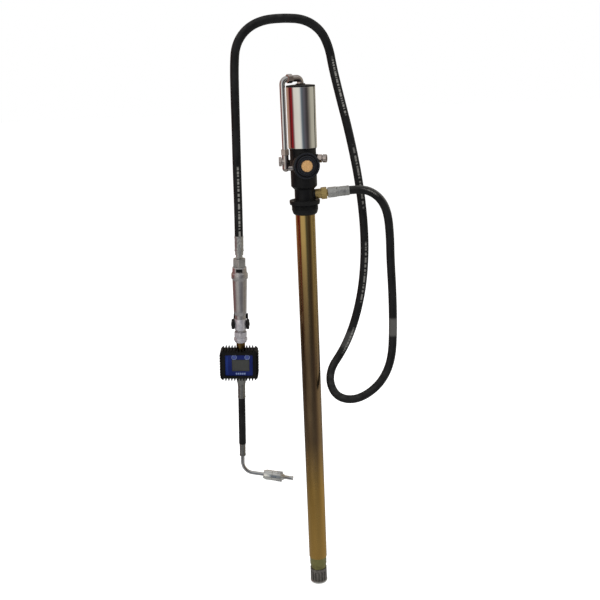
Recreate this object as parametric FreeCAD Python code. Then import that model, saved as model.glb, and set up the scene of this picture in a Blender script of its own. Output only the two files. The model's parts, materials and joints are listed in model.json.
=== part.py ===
import FreeCAD, Part
import math
import os
from FreeCAD import Placement, Rotation, Vector

# Air-operated drum pump for gear oil: a chrome air motor on a long suction tube,
# a delivery hose, a control gun with a gear meter, and a bent spout with a nozzle.
# Millimetres. Z runs up the suction tube. The origin is on the tube's axis, where
# the bung adaptor's flange sits on the drum. The gun side is on -X, the hose outlet on +X.

# ---- fits ----
RUN = 0.05            # radial clearance of a piece that slides or turns in a bore
SLIP = 0.05           # radial gap of pieces that are pushed or screwed together
BALL_GAP = 0.05       # between a check ball and the edge of its seat
END_GAP = 0.4         # axial gap beside a piece that turns
BUTTON_GAP = 0.2      # round a push button

# ---- suction tube and bung adaptor ----
TUBE_R = 22.0
TUBE_WALL = 2.0
TUBE_LEN = 901.5
FLANGE_R = 34.0
FLANGE_H = 9.0
FLANGE_LIP = 5.0      # height of the upright upper edge of the flange
THREAD_R = 29.8       # G2 bung thread
THREAD_LEN = 15.0
SKIRT_LEN = 8.0       # rounded guide below the thread
SKIRT_R = 24.0
SKIRT_CHAMFER = 3.0
THREAD_CHAMFER = 1.2
FLANGE_RECESS = 1.5    # shallow step in the top of the flange
FLANGE_RIM = 3.0
GASKET_H = 2.0
GASKET_W = 2.4
GASKET_IN = THREAD_R + 0.4
GASKET_R = GASKET_IN + GASKET_W
HEAD_GAP = 0.5        # between the adaptor and the pump head

# ---- pump head ----
NECK_R = 22.0
NECK_H = 24.0
CHAMFER_H = 7.0
BODY_R = 29.0
BODY_H = 84.0
SPIGOT_R = TUBE_R - TUBE_WALL - SLIP
SPIGOT_LEN = 21.0
OIL_BORE_R = 17.0
OIL_ROOF = 3.0        # from the top of the oil space up to the head's body
GLAND_R = 12.0
GLAND_LEN = 20.0
GLAND_FOOT = 3.0      # collar of the gland below its bore
SEAL_R = 9.0
SEAL_LEN = 5.0
ROD_HOLE_GAP = 0.5

# ---- air motor ----
CYL_R = 31.6
CYL_WALL = 1.6
CYL_SPIGOT = 8.0      # plug of the head inside the cylinder's foot
CAP_SPIGOT = 9.0
CAP_RIM = 3.5
CAP_DOME = 1.5
CAP_BOSS_R = 10.5
CAP_BOSS_H = 2.0
CAP_PORT_R = 5.0
PISTON_H = 14.0
PISTON_START = 4.0    # above the head's plug at the bottom of the stroke
STROKE = 80.0
HEADROOM = 6.0        # left above the rod's end at the top of the stroke
PISTON_RING_H = 4.0
PISTON_RING_D = 3.0
ROD_R = 6.0
STUD_R = 4.0
PISTON_NUT_AF = 13.0
PISTON_NUT_H = 6.5
STUD_END = 2.0        # of the rod above its nut
RING_R = 1.3          # section radius of the static O-rings

# ---- exhaust, inlet and spool on the head ----
EXHAUST_DROP = 36.5   # each of these drops is down from the top of the head's body
EXHAUST_YAW = 11.0    # degrees round from the front
EXHAUST_R = 27.0
EXHAUST_FLANGE_R = 29.5
EXHAUST_FLANGE = 9.0   # its thickness at the end of the boss
EXHAUST_OUT = 36.0
EXHAUST_CAP_R = 22.0
EXHAUST_CAP_H = 3.5
EXHAUST_STEP_R = 17.5
EXHAUST_STEP_H = 1.6
SILENCER_R = 12.5
SILENCER_H = 4.0
INLET_DROP = 24.5
INLET_YAW = 12.0
INLET_BOSS_R = 10.0
INLET_BOSS_OUT = 33.0
INLET_HEX_AF = 16.0
INLET_HEX_H = 9.0
INLET_SCREW_R = 5.2
INLET_BORE_R = 3.2
SOCKET_R = 9.0        # socket for the air line's coupler
SOCKET_LEN = 11.0
SOCKET_BORE_R = 6.0
SOCKET_DEPTH = 9.0
WEB_T = 8.0           # web under the inlet boss
WEB_DROP = 34.0
WEB_ROOT = 4.0        # how far it reaches into the body
SPOOL_Y = 16.0
SPOOL_DROP = 36.5
SPOOL_R = 7.0
SPOOL_LEN = 27.0
SPOOL_TRAVEL = 12.0
SPOOL_END_PLAY = 0.5
SPOOL_PLUG_AF = 17.0
SPOOL_PLUG_H = 5.0

# ---- air transfer line ----
LINE_R = 6.0
LINE_WALL = 1.2
LINE_X = -39.0
LINE_Y = -22.0
LINE_BEND = 12.0
LINE_TOP = 14.5       # above the top of the cap's rim
LINE_NUT_AF = 17.0
LINE_NUT_H = 12.0
LINE_DEPTH = 9.0      # how far the tube reaches into each fitting
ELBOW_R = 7.2
ELBOW_BEND = 9.0
ELBOW_NUT_H = 3.0
FITTING_R = 7.4
PORT_DROP = 41.5      # these three too
PLUG_DROP = 26.5
FITTING_DROP = 12.5
FITTING_LEG_R = 5.4
LEG_BURIED = 5.0      # how far the leg goes inside the round of the head
FITTING_BORE_R = 3.6
PLUG_HEX_AF = 19.0
PLUG_HEX_H = 6.0

# ---- lower pump ----
COUPLING_R = 9.0
COUPLING_LEN = 30.0
COUPLING_GAP = 4.0    # below the gland at the top of the stroke
PUMP_ROD_R = 5.0
BARREL_R = 17.5
BARREL_WALL = 2.5
BARREL_SPARE = 13.0   # above the pump piston at the top of the stroke
BARREL_SEAT = 8.0     # how deep the barrel sits in the foot valve
FOOT_SPIGOT = 15.0
FOOT_R = 20.6
FOOT_COLLAR = 23.0
FOOT_WAIST_R = 18.7
FOOT_WAIST = 9.0
FOOT_NECK_R = 16.0
FOOT_NECK = 6.0
FOOT_BALL_R = 9.0
FOOT_HOLE_R = 7.0
FOOT_CHAMBER_R = 11.0
FOOT_CHAMBER = 9.0
FOOT_LIFT = 5.0
STOP_PIN_R = 2.0
STOP_GAP = 1.3
DELIVERY_H = 22.0
DELIVERY_START = 11.0  # piston above the stop pin at the bottom of the stroke
DELIVERY_BALL_R = 7.0
DELIVERY_HOLE_R = 5.0
DELIVERY_LIFT = 4.0
LIFT_GAP = 0.5
CHAMBER_GAP = 1.6
CHAMBER_DEPTH = 9.0
CAGE_R = 12.0
CAGE_H = 28.0
CAGE_WINDOW_W = 8.0
CAGE_WINDOW_H = 11.0
ROD_THREAD = 10.0
PISTON_SEAL_H = 4.0
PISTON_SEAL_D = 2.5
STRAINER_R = 20.5
STRAINER_WALL = 1.8
STRAINER_H = 38.0
STRAINER_PLATE = 3.0
STRAINER_SLOTS = 16
SLOT_W = 2.4
SLOT_H = 24.0

# ---- delivery outlet and hose ----
OUTLET_RISE = 10.0    # up from the head's lower end to where its axis starts
OUTLET_TILT = 4.0     # degrees that its axis climbs
OUTLET_BOSS_R = 11.2
OUTLET_BOSS_X = 24.0
OUTLET_THREAD_R = 8.3
OUTLET_THREAD = 5.0
OUTLET_BARREL_R = 11.0
OUTLET_BARREL = 13.0
OUTLET_HEX_AF = 25.0
OUTLET_HEX_H = 13.0
OUTLET_NOSE_R = 8.0
OUTLET_NOSE = 14.0
OUTLET_BORE_R = 5.0
HOSE_R = 9.5
HOSE_NUT_AF = 22.0
HOSE_NUT_H = 20.0
NUT_LEAD = 2.0        # from the outlet's hex to the hose nut
FERRULE_R = 11.3
FERRULE_LEN = 28.0
FERRULE_STEP = 2.2

# ---- control gun (its own axis hangs a little off the pump's) ----
GUN_X = -151.5        # where the hose ends
GUN_Z = -67.0
GUN_LEAN = 2.35
GUN_FERRULE_R = 10.6
GUN_FERRULE = 35.0
CRIMP_R = 9.4
CRIMP_H = 8.0
STEM_R = 7.6
STEM_H = 9.0
SWIVEL_R = 6.0
GUN_NUT_AF = 27.0
GUN_NUT_H = 19.0
GUN_SPIGOT_R = 11.0
GUN_SPIGOT = 13.0
COLLAR_R = 17.4
COLLAR_H = 14.0
BAND_R = 19.0
BAND_H = 15.0
HANDLE_R = 16.6
HANDLE_END_R = 14.8
HANDLE_H = 83.0
GUN_NECK_R = 12.4
GUN_NECK_H = 12.0
VALVE_R = 13.8
VALVE_H = 26.0
LUG_R = 12.0
LUG_H = 5.0
GUN_BORE_R = 5.0
UNION_AF = 28.0
UNION_HEX_H = 12.0
UNION_R = 15.8
UNION_H = 25.0
UNION_THREAD_R = 10.0
UNION_THREAD = 12.0
NIPPLE_R = 10.3
NIPPLE_H = 22.5
NIPPLE_GAP = 1.0      # between the gun's thread and the nipple's end
PORT_R = 8.0
PORT_DEPTH = 10.0

# ---- trigger, guard and valve stem ----
PIVOT_R = 4.0
PIVOT_DEPTH = 5.0
CHEEK_R = 12.0
CHEEK_IN = 14.3       # from the gun's axis to a cheek's inner face
CHEEK_T = 6.0
ARM_T = 2.5
LEVER_TOP = 95.0      # height of the lever's tip above its pivot
LEVER_TIP_Y = 43.0
LEVER_KNEE_Y = 27.0
LEVER_KNEE_Z = 20.0
LEVER_T = 5.0
LEVER_W = 24.0
BAR_Y = 22.3
BAR_T = 6.0
BAR_H = 12.0
STEM_PIN_R = 3.0
STEM_PIN_Z = 12.0     # above the pivot
STEM_PIN_GAP = 0.3
STEM_PIN_LEN = 18.0
GUARD_W = 14.0
GUARD_T = 3.0
GUARD_Y = 60.0
GUARD_SLOPE = 6.0     # how much nearer its lower corner is
LUG_REACH = 6.0       # of the guard's lug beyond the gun's round
GUARD_ROUND = 12.0

# ---- meter ----
BOOT_WALL = 8.0       # of the boot round the meter's sides, ribs included
BOOT_ROUND = 13.0
BOOT_DEPTH = 38.0
BOOT_LIP = 2.0        # of the boot in front of the panel
BOOT_SHIFT = -4.0     # the meter sits off the gun's axis
METER_W = 74.0
METER_H = 59.0
METER_ROUND = 7.0
METER_DEPTH = 29.0
METER_FRONT = -16.0
RIB_DEPTH = 5.0
RIB_WIDTH = 3.0
RIB_EDGE = 7.0        # from the boot's side to the middle of its last rib
RIBS_ACROSS = 12      # along the top and along the bottom
RIBS_UP = 10          # up each side
PANEL_W = 65.0
PANEL_H = 51.0
PANEL_T = 4.0
PANEL_ROUND = 3.0
DISPLAY_W = 39.0
DISPLAY_H = 26.5
DISPLAY_T = 1.6
DISPLAY_X = 4.0
BUTTON_R = 4.6
BUTTON_DROP = 5.6     # from the panel's top edge
BUTTON_LEFT_X = -10.9
BUTTON_RIGHT_X = 19.3
BUTTON_PROUD = 1.4
BUTTON_TRAVEL = 1.2
GEAR_MODULE = 2.0
GEAR_TEETH = 12
GEAR_PRESSURE = 25.0
GEAR_ADDENDUM = 0.8
GEAR_DEDENDUM = 1.05
GEAR_BACKLASH = 0.2
GEAR_W = 15.6
GEAR_POCKET = 16.0
GEAR_TIP_GAP = 0.25
GEAR_PIN_R = 3.0
GEAR_PIN_LEN = 3.0
GEAR_PIN_GAP = 0.5
METER_WALL = 8.0      # left between the way in and the way out, behind the gears
COVER_T = 4.5
COVER_EDGE = 1.0

# ---- spout and nozzle ----
ADAPTOR_R = 11.5
ADAPTOR_H = 23.5
SPOUT_FERRULE_R = 9.3
SPOUT_FERRULE = 35.0
SPOUT_HOSE_R = 8.5
SPOUT_HOSE = 120.0
TAIL_FERRULE_R = 7.6
TAIL_FERRULE = 31.0
SPOUT_BORE_R = 4.0
PIPE_R = 4.4
PIPE_WALL = 1.1
PIPE_DROP = 43.0      # from the last ferrule to the corner of the bend
PIPE_BEND = 28.0
PIPE_TURN = 81.0
PIPE_REACH = 50.5     # from the corner of the bend to the nozzle
PIPE_DEPTH = 8.0
NOZZLE_R = 12.2
NOZZLE_BACK_R = 9.6
NOZZLE_BACK = 7.0
NOZZLE_BODY = 20.0
NOZZLE_SLEEVE = 20.0
NOZZLE_TAPER = 13.0
NOZZLE_SPIGOT_R = 8.0
NOZZLE_SPIGOT = 14.0
TIP_R = 4.8
TIP_LEN = 20.0
TIP_BORE_R = 3.0

# ---- the hose's route between its two ferrules ----
HOSE_LEAD = 26.0      # straight out of the pump's ferrule
HOSE_TAIL = 51.0      # straight into the gun's ferrule
ARC_SHARE = 0.45      # of the shorter run that each bend takes
HOSE_ROUTE = [
    (152, -1, 20), (173, -2, 0), (185, -4, -30), (189, -6, -80), (189, -10, -133), (192, -16, -208),
    (192, -24, -294), (187, -34, -364), (165, -43, -412), (127, -52, -443), (89, -50, -456),
    (56, -32, -451), (42, -5, -426), (49, 18, -397), (71, 30, -370), (93, 32, -329),
    (114, 33, -269), (130, 33, -191), (136, 33, -92), (127, 33, 26), (107, 32, 139),
    (86, 31, 228), (72, 29, 290), (65, 27, 334), (48, 24, 370), (14, 21, 393),
    (-32, 18, 397), (-77, 14, 394), (-112, 10, 377), (-135, 6, 345), (-140, 4, 304),
    (-142, 1, 249), (-144, 0, 174), (-147, 0, 83),
]

# ---- heights that follow from the sizes above ----
HEAD_LOW = FLANGE_H + HEAD_GAP
CHAMFER_LOW = HEAD_LOW + NECK_H
BODY_LOW = CHAMFER_LOW + CHAMFER_H
BODY_TOP = BODY_LOW + BODY_H
EXHAUST_Z = BODY_TOP - EXHAUST_DROP
INLET_Z = BODY_TOP - INLET_DROP
SPOOL_Z = BODY_TOP - SPOOL_DROP
FITTING_PORT_Z = BODY_TOP - PORT_DROP
FITTING_PLUG_Z = BODY_TOP - PLUG_DROP
FITTING_TOP = BODY_TOP - FITTING_DROP
OUTLET_Z = HEAD_LOW + OUTLET_RISE
OIL_TOP = BODY_LOW - OIL_ROOF
GLAND_TOP = OIL_TOP + GLAND_LEN
SEAL_TOP = GLAND_TOP + SEAL_LEN
CYL_BORE = CYL_R - CYL_WALL
PISTON_LOW = BODY_TOP + CYL_SPIGOT + PISTON_START
PISTON_TOP = PISTON_LOW + PISTON_H
CYL_TOP = PISTON_TOP + PISTON_NUT_H + STUD_END + STROKE + HEADROOM + CAP_SPIGOT
TUBE_LOW = HEAD_LOW - TUBE_LEN
TUBE_BORE = TUBE_R - TUBE_WALL
COUPLING_TOP = OIL_TOP - GLAND_FOOT - COUPLING_GAP - STROKE
ROD_MEET = COUPLING_TOP - COUPLING_LEN / 2
BARREL_LOW = TUBE_LOW + FOOT_SPIGOT - BARREL_SEAT
BARREL_BORE = BARREL_R - BARREL_WALL
FOOT_SEAT = BARREL_LOW - FOOT_CHAMBER


def seat_height(ball_r, hole_r):
    """Height of a ball's centre above the sharp edge that it rests on."""
    return math.sqrt((ball_r + BALL_GAP) ** 2 - hole_r ** 2)


FOOT_BALL_Z = FOOT_SEAT + seat_height(FOOT_BALL_R, FOOT_HOLE_R)
STOP_PIN_Z = FOOT_BALL_Z + FOOT_BALL_R + FOOT_LIFT + STOP_GAP + STOP_PIN_R
DELIVERY_LOW = STOP_PIN_Z + DELIVERY_START
DELIVERY_TOP = DELIVERY_LOW + DELIVERY_H
BARREL_TOP = DELIVERY_TOP + STROKE + BARREL_SPARE
DELIVERY_SEAT = DELIVERY_TOP - CHAMBER_DEPTH
DELIVERY_BALL_Z = DELIVERY_SEAT + seat_height(DELIVERY_BALL_R, DELIVERY_HOLE_R)
CHAMBER_TOP = DELIVERY_BALL_Z + DELIVERY_BALL_R + DELIVERY_LIFT + LIFT_GAP
CAGE_TOP = DELIVERY_TOP + CAGE_H
STRAINER_TOP = TUBE_LOW - FOOT_COLLAR - FOOT_WAIST
LINE_Z = CYL_TOP + CAP_RIM + LINE_TOP

# ---- places down the gun's own axis, from the hose at 0 ----
CRIMP_LOW = -GUN_FERRULE - CRIMP_H
NUT_TOP = CRIMP_LOW - STEM_H
COLLAR_TOP = NUT_TOP - GUN_NUT_H
BAND_TOP = COLLAR_TOP - COLLAR_H
HANDLE_TOP = BAND_TOP - BAND_H
NECK_TOP = HANDLE_TOP - HANDLE_H
VALVE_TOP = NECK_TOP - GUN_NECK_H
PIVOT_Z = VALVE_TOP - VALVE_H / 2
LUG_TOP = VALVE_TOP - VALVE_H
UNION_TOP = LUG_TOP - LUG_H
NIPPLE_TOP = UNION_TOP - UNION_THREAD - NIPPLE_GAP
METER_TOP = UNION_TOP - UNION_H - NIPPLE_H
METER_Z = METER_TOP - METER_H / 2
METER_LOW = METER_TOP - METER_H
ADAPTOR_LOW = METER_LOW - ADAPTOR_H
SPOUT_HOSE_TOP = ADAPTOR_LOW - SPOUT_FERRULE
SPOUT_HOSE_LOW = SPOUT_HOSE_TOP - SPOUT_HOSE
PIPE_TOP = SPOUT_HOSE_LOW - TAIL_FERRULE
CORNER_Z = PIPE_TOP - PIPE_DROP
GEAR_PITCH_R = GEAR_MODULE * GEAR_TEETH / 2
METER_BACK = METER_FRONT + METER_DEPTH
BOOT_W = METER_W + 2 * BOOT_WALL
BOOT_H = METER_H + 2 * BOOT_WALL
BOOT_FRONT = METER_FRONT - PANEL_T - BOOT_LIP

UP = Vector(0, 0, 1)
X = Vector(1, 0, 0)
Y = Vector(0, 1, 0)
ORIGIN = Vector(0, 0, 0)
GUN_TOP = Vector(GUN_X, 0, GUN_Z)


# ---- shape helpers ----
def rod(z_low, z_high, radius):
    return Part.makeCylinder(radius, z_high - z_low, Vector(0, 0, z_low))


def pipe(z_low, z_high, outer, inner):
    return rod(z_low, z_high, outer).cut(rod(z_low - 1, z_high + 1, inner))


def turned(points):
    """A solid turned about Z from its half outline, given as (radius, height) points."""
    corners = [Vector(r, 0, z) for r, z in points]
    outline = Part.makePolygon(corners + corners[:1])
    return Part.Face(outline).revolve(ORIGIN, UP, 360)


def hexagon(z_low, z_high, across_flats):
    corner = across_flats / math.sqrt(3)
    angles = [math.radians(60 * i + 30) for i in range(7)]
    ring = [Vector(corner * math.cos(a), corner * math.sin(a), z_low) for a in angles]
    return Part.Face(Part.makePolygon(ring)).extrude(UP * (z_high - z_low))


def nut(z_low, z_high, across_flats):
    """A hexagon with its corners chamfered at both ends."""
    corner = across_flats / math.sqrt(3)
    cone = (corner - across_flats / 2) * 0.6
    flat = across_flats / 2 + 0.2
    trim = turned([(0, z_low), (flat, z_low), (corner, z_low + cone),
                   (corner, z_high - cone), (flat, z_high), (0, z_high)])
    return hexagon(z_low, z_high, across_flats).common(trim)


def ring(z, centre_r, section_r):
    return Part.makeTorus(centre_r, section_r, Vector(0, 0, z))


def plate(width, height, y_low, y_high, corner, x=0.0, z=0.0):
    """A plate facing along Y with rounded corners, centred on (x, z)."""
    box = Part.makeBox(width, y_high - y_low, height, Vector(x - width / 2, y_low, z - height / 2))
    upright = [e for e in box.Edges if abs(e.tangentAt(e.FirstParameter).y) > 0.9]
    return box.makeFillet(corner, upright)


def aim(shape, origin, direction):
    """Turn a shape built up along Z so that Z points along direction, and move it to origin."""
    placed = shape.copy()
    placed.Placement = Placement(origin, Rotation(UP, direction)).multiply(shape.Placement)
    return placed


def moved(shape, x, y, z):
    placed = shape.copy()
    placed.translate(Vector(x, y, z))
    return placed


def heading(degrees, base):
    """A level direction, turned from base about Z."""
    return Rotation(UP, degrees).multVec(base)


def hang(shape):
    """Move a piece from the gun's own axis to its place on the end of the hose."""
    placed = shape.copy()
    placed.Placement = Placement(GUN_TOP, Rotation(Y, GUN_LEAN)).multiply(shape.Placement)
    return placed


def joined(shapes):
    result = shapes[0].fuse(shapes[1:])
    return result.removeSplitter()


def rounded_wire(points, radius=None):
    """Straight runs joined by tangent arcs: of one radius, or as large as the runs allow."""
    edges = []
    radii = []
    last = points[0]
    for before, corner, after in zip(points, points[1:], points[2:]):
        into = (corner - before).normalize()
        out = (after - corner).normalize()
        half_turn = into.getAngle(out) / 2
        bend = radius
        if radius is None:
            shorter = min((corner - before).Length, (after - corner).Length)
            bend = ARC_SHARE * shorter / math.tan(half_turn)
        reach = bend * math.tan(half_turn)
        start = corner - into * reach
        end = corner + out * reach
        toward = (out - into).normalize()
        middle = corner + toward * (bend / math.cos(half_turn) - bend)
        edges.append(Part.LineSegment(last, start).toShape())
        edges.append(Part.Arc(start, middle, end).toShape())
        radii.append(bend)
        last = end
    edges.append(Part.LineSegment(last, points[-1]).toShape())
    return Part.Wire(edges), radii


def swept(wire, direction, radius):
    start = wire.OrderedVertexes[0].Point
    circle = Part.Wire([Part.Circle(start, direction, radius).toShape()])
    return wire.makePipeShell([circle], True, False)


# ---- air motor ----
def motor_cylinder():
    return pipe(BODY_TOP, CYL_TOP, CYL_R, CYL_BORE)


def o_ring_groove(z, bore_r):
    """Ring-shaped cut for an O-ring that seals against a bore."""
    return pipe(z - RING_R, z + RING_R, bore_r + 1, bore_r - 2 * RING_R)


def static_ring(z, bore_r):
    return ring(z, bore_r - RING_R - SLIP / 2, RING_R - SLIP)


CAP_RING_Z = CYL_TOP - CAP_SPIGOT / 2
BASE_RING_Z = BODY_TOP + CYL_SPIGOT / 2
TUBE_RING_Z = HEAD_LOW - SPIGOT_LEN / 2
BOSS_TOP = CYL_TOP + CAP_RIM + CAP_DOME + CAP_BOSS_H


def motor_top_cap():
    rim = CYL_TOP + CAP_RIM
    body = turned([(0, CYL_TOP - CAP_SPIGOT), (CYL_BORE - SLIP, CYL_TOP - CAP_SPIGOT),
                   (CYL_BORE - SLIP, CYL_TOP), (CYL_R, CYL_TOP), (CYL_R, rim - 1.0),
                   (CYL_R - 1.0, rim), (CYL_R * 0.62, rim + CAP_DOME * 0.75),
                   (CAP_BOSS_R, rim + CAP_DOME), (CAP_BOSS_R, BOSS_TOP), (0, BOSS_TOP)])
    body = body.cut(o_ring_groove(CAP_RING_Z, CYL_BORE))
    return body.cut(rod(CYL_TOP - CAP_SPIGOT - 1, BOSS_TOP + 1, CAP_PORT_R))


def motor_seals():
    rod_seal = pipe(GLAND_TOP, SEAL_TOP, SEAL_R - SLIP, ROD_R + RUN)
    rings = [static_ring(CAP_RING_Z, CYL_BORE), static_ring(BASE_RING_Z, CYL_BORE),
             static_ring(TUBE_RING_Z, TUBE_BORE), rod_seal]
    return Part.makeCompound(rings)


def piston_groove(z_low, height, outer, depth):
    return pipe(z_low, z_low + height, outer + 1, outer - depth)


def air_piston():
    outer = CYL_BORE - RUN
    body = pipe(PISTON_LOW, PISTON_TOP, outer, STUD_R + SLIP)
    groove_low = PISTON_LOW + (PISTON_H - PISTON_RING_H) / 2
    return body.cut(piston_groove(groove_low, PISTON_RING_H, outer, PISTON_RING_D))


def air_piston_seal():
    low = PISTON_LOW + (PISTON_H - PISTON_RING_H) / 2
    outer = CYL_BORE - RUN
    return pipe(low, low + PISTON_RING_H, outer, outer - PISTON_RING_D)


def piston_nut():
    body = nut(PISTON_TOP, PISTON_TOP + PISTON_NUT_H, PISTON_NUT_AF)
    return body.cut(rod(PISTON_TOP - 1, PISTON_TOP + PISTON_NUT_H + 1, STUD_R + SLIP))


def motor_rod():
    stud_top = PISTON_TOP + PISTON_NUT_H + STUD_END
    return turned([(0, ROD_MEET), (ROD_R, ROD_MEET), (ROD_R, PISTON_LOW), (STUD_R, PISTON_LOW),
                   (STUD_R, stud_top - 1), (STUD_R - 1, stud_top), (0, stud_top)])


# ---- pump head and what is on it ----
EXHAUST_WAY = heading(EXHAUST_YAW, Vector(0, -1, 0))
INLET_WAY = heading(-INLET_YAW, X)
OUTLET_WAY = Rotation(Y, -OUTLET_TILT).multVec(X)
SPOOL_PLUG_X = BODY_R - 0.5
SPOOL_BORE_END = (SPOOL_LEN + SPOOL_TRAVEL) / 2 + SPOOL_END_PLAY


def level(shape, z, direction):
    """Lay a piece built up along Z on a level axis that starts on the pump's axis at z."""
    return aim(shape, Vector(0, 0, z), direction)


def inlet_web():
    """Web that carries the inlet boss."""
    root = BODY_R - WEB_ROOT
    points = [(root, -WEB_DROP), (BODY_R, -WEB_DROP), (INLET_BOSS_OUT, -INLET_BOSS_R),
              (INLET_BOSS_OUT, 0), (root, 0)]
    outline = Part.makePolygon([Vector(d, -WEB_T / 2, INLET_Z + z) for d, z in points + points[:1]])
    web = Part.Face(outline).extrude(Y * WEB_T)
    web.rotate(ORIGIN, UP, -INLET_YAW)
    return web


def pump_head():
    outside = turned([
        (0, HEAD_LOW - SPIGOT_LEN), (SPIGOT_R, HEAD_LOW - SPIGOT_LEN), (SPIGOT_R, HEAD_LOW),
        (NECK_R, HEAD_LOW), (NECK_R, CHAMFER_LOW), (BODY_R, BODY_LOW), (BODY_R, BODY_TOP - 2),
        (CYL_R - 0.6, BODY_TOP - 1), (CYL_R - 0.6, BODY_TOP), (CYL_BORE - SLIP, BODY_TOP),
        (CYL_BORE - SLIP, BODY_TOP + CYL_SPIGOT), (0, BODY_TOP + CYL_SPIGOT)])
    exhaust = level(rod(0, EXHAUST_OUT, EXHAUST_R), EXHAUST_Z, EXHAUST_WAY)
    flange = level(rod(EXHAUST_OUT - EXHAUST_FLANGE, EXHAUST_OUT, EXHAUST_FLANGE_R), EXHAUST_Z, EXHAUST_WAY)
    inlet = level(rod(0, INLET_BOSS_OUT, INLET_BOSS_R), INLET_Z, INLET_WAY)
    outlet = level(rod(0, OUTLET_BOSS_X, OUTLET_BOSS_R), OUTLET_Z, OUTLET_WAY)
    spool_boss = aim(rod(-SPOOL_PLUG_X, SPOOL_PLUG_X, SPOOL_R + 3.5), Vector(0, SPOOL_Y, SPOOL_Z), X)
    body = joined([outside, exhaust, flange, inlet, outlet, spool_boss, inlet_web()])
    bores = [
        rod(HEAD_LOW - SPIGOT_LEN - 1, OIL_TOP, OIL_BORE_R),
        rod(OIL_TOP - 1, GLAND_TOP, GLAND_R),
        rod(GLAND_TOP - 1, SEAL_TOP, SEAL_R),
        rod(SEAL_TOP - 1, BODY_TOP + CYL_SPIGOT + 1, ROD_R + ROD_HOLE_GAP),
        o_ring_groove(BASE_RING_Z, CYL_BORE),
        o_ring_groove(TUBE_RING_Z, TUBE_BORE),
        aim(rod(-SPOOL_PLUG_X - 1, SPOOL_PLUG_X + 1, SPOOL_R), Vector(0, SPOOL_Y, SPOOL_Z), X),
        level(rod(EXHAUST_OUT - 12, EXHAUST_OUT + 1, SILENCER_R + 1), EXHAUST_Z, EXHAUST_WAY),
        level(rod(EXHAUST_OUT - 3, EXHAUST_OUT + 1, EXHAUST_CAP_R - 2), EXHAUST_Z, EXHAUST_WAY),
        level(rod(BODY_R - 14, INLET_BOSS_OUT + 1, INLET_SCREW_R), INLET_Z, INLET_WAY),
        level(rod(OIL_BORE_R - 4, OUTLET_BOSS_X + 1, OUTLET_THREAD_R), OUTLET_Z, OUTLET_WAY),
        aim(rod(-1, 14, FITTING_LEG_R - 1.2), Vector(-BODY_R, LINE_Y, FITTING_PORT_Z), X),
    ]
    return body.cut(bores)


def rod_gland():
    body = pipe(OIL_TOP, GLAND_TOP, GLAND_R - SLIP, ROD_R + RUN)
    foot = pipe(OIL_TOP - GLAND_FOOT, OIL_TOP, GLAND_R + GLAND_FOOT, ROD_R + RUN)
    return joined([body, foot])


def exhaust_cap():
    lip = EXHAUST_OUT - 3
    face = EXHAUST_OUT + EXHAUST_CAP_H
    body = turned([(SILENCER_R - 2, lip), (EXHAUST_CAP_R - 2 - SLIP, lip),
                   (EXHAUST_CAP_R - 2 - SLIP, EXHAUST_OUT), (EXHAUST_CAP_R, EXHAUST_OUT),
                   (EXHAUST_CAP_R, face - 1.5), (EXHAUST_CAP_R - 1.5, face),
                   (EXHAUST_STEP_R, face), (EXHAUST_STEP_R - 0.6, face + EXHAUST_STEP_H),
                   (SILENCER_R + SLIP, face + EXHAUST_STEP_H), (SILENCER_R + SLIP, lip + 1.5),
                   (SILENCER_R - 2, lip + 1.5)])
    return level(body, EXHAUST_Z, EXHAUST_WAY)


def exhaust_silencer():
    low = EXHAUST_OUT - 1.5
    return level(rod(low, low + SILENCER_H, SILENCER_R), EXHAUST_Z, EXHAUST_WAY)


def valve_spool():
    low = -SPOOL_BORE_END + SPOOL_END_PLAY
    land = SPOOL_R - RUN
    body = rod(low, low + SPOOL_LEN, land)
    pitch = SPOOL_LEN / 3
    for i in (1, 2):
        body = body.cut(pipe(low + pitch * i - 3, low + pitch * i + 3, land + 1, land - 2.5))
    return aim(body, Vector(0, SPOOL_Y, SPOOL_Z), X)


def spool_plugs():
    """Screwed plugs that close both ends of the spool's bore."""
    plugs = []
    for side in (1, -1):
        head = nut(SPOOL_PLUG_X, SPOOL_PLUG_X + SPOOL_PLUG_H, SPOOL_PLUG_AF)
        inside = rod(SPOOL_BORE_END, SPOOL_PLUG_X, SPOOL_R - SLIP)
        plugs.append(aim(joined([head, inside]), Vector(0, SPOOL_Y, SPOOL_Z), X * side))
    return Part.makeCompound(plugs)


def air_inlet_nipple():
    """Screwed adaptor with the socket that the air line's coupler goes into."""
    hex_end = INLET_BOSS_OUT + INLET_HEX_H
    socket_end = hex_end + SOCKET_LEN
    screw = rod(BODY_R - 8, INLET_BOSS_OUT, INLET_SCREW_R - SLIP)
    head = nut(INLET_BOSS_OUT, hex_end, INLET_HEX_AF)
    socket = turned([(0, hex_end), (SOCKET_R - 2, hex_end), (SOCKET_R - 2, hex_end + 1.5),
                     (SOCKET_R, hex_end + 2.5), (SOCKET_R, socket_end - 1),
                     (SOCKET_R - 1, socket_end), (0, socket_end)])
    body = joined([screw, head, socket])
    body = body.cut([rod(BODY_R - 9, socket_end + 1, INLET_BORE_R),
                     rod(socket_end - SOCKET_DEPTH, socket_end + 1, SOCKET_BORE_R)])
    return level(body, INLET_Z, INLET_WAY)


# ---- air transfer line ----
LINE_WAY = Vector(LINE_X, LINE_Y, 0).normalize()
LINE_REACH = math.hypot(LINE_X, LINE_Y)
TOP_NUT_OUT = LINE_REACH - LINE_BEND
TOP_NUT_IN = TOP_NUT_OUT - LINE_NUT_H
LINE_END = TOP_NUT_IN - LINE_DEPTH
LINE_LOW = FITTING_TOP - LINE_DEPTH


def line_point(distance, z):
    return LINE_WAY * distance + Vector(0, 0, z)


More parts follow.
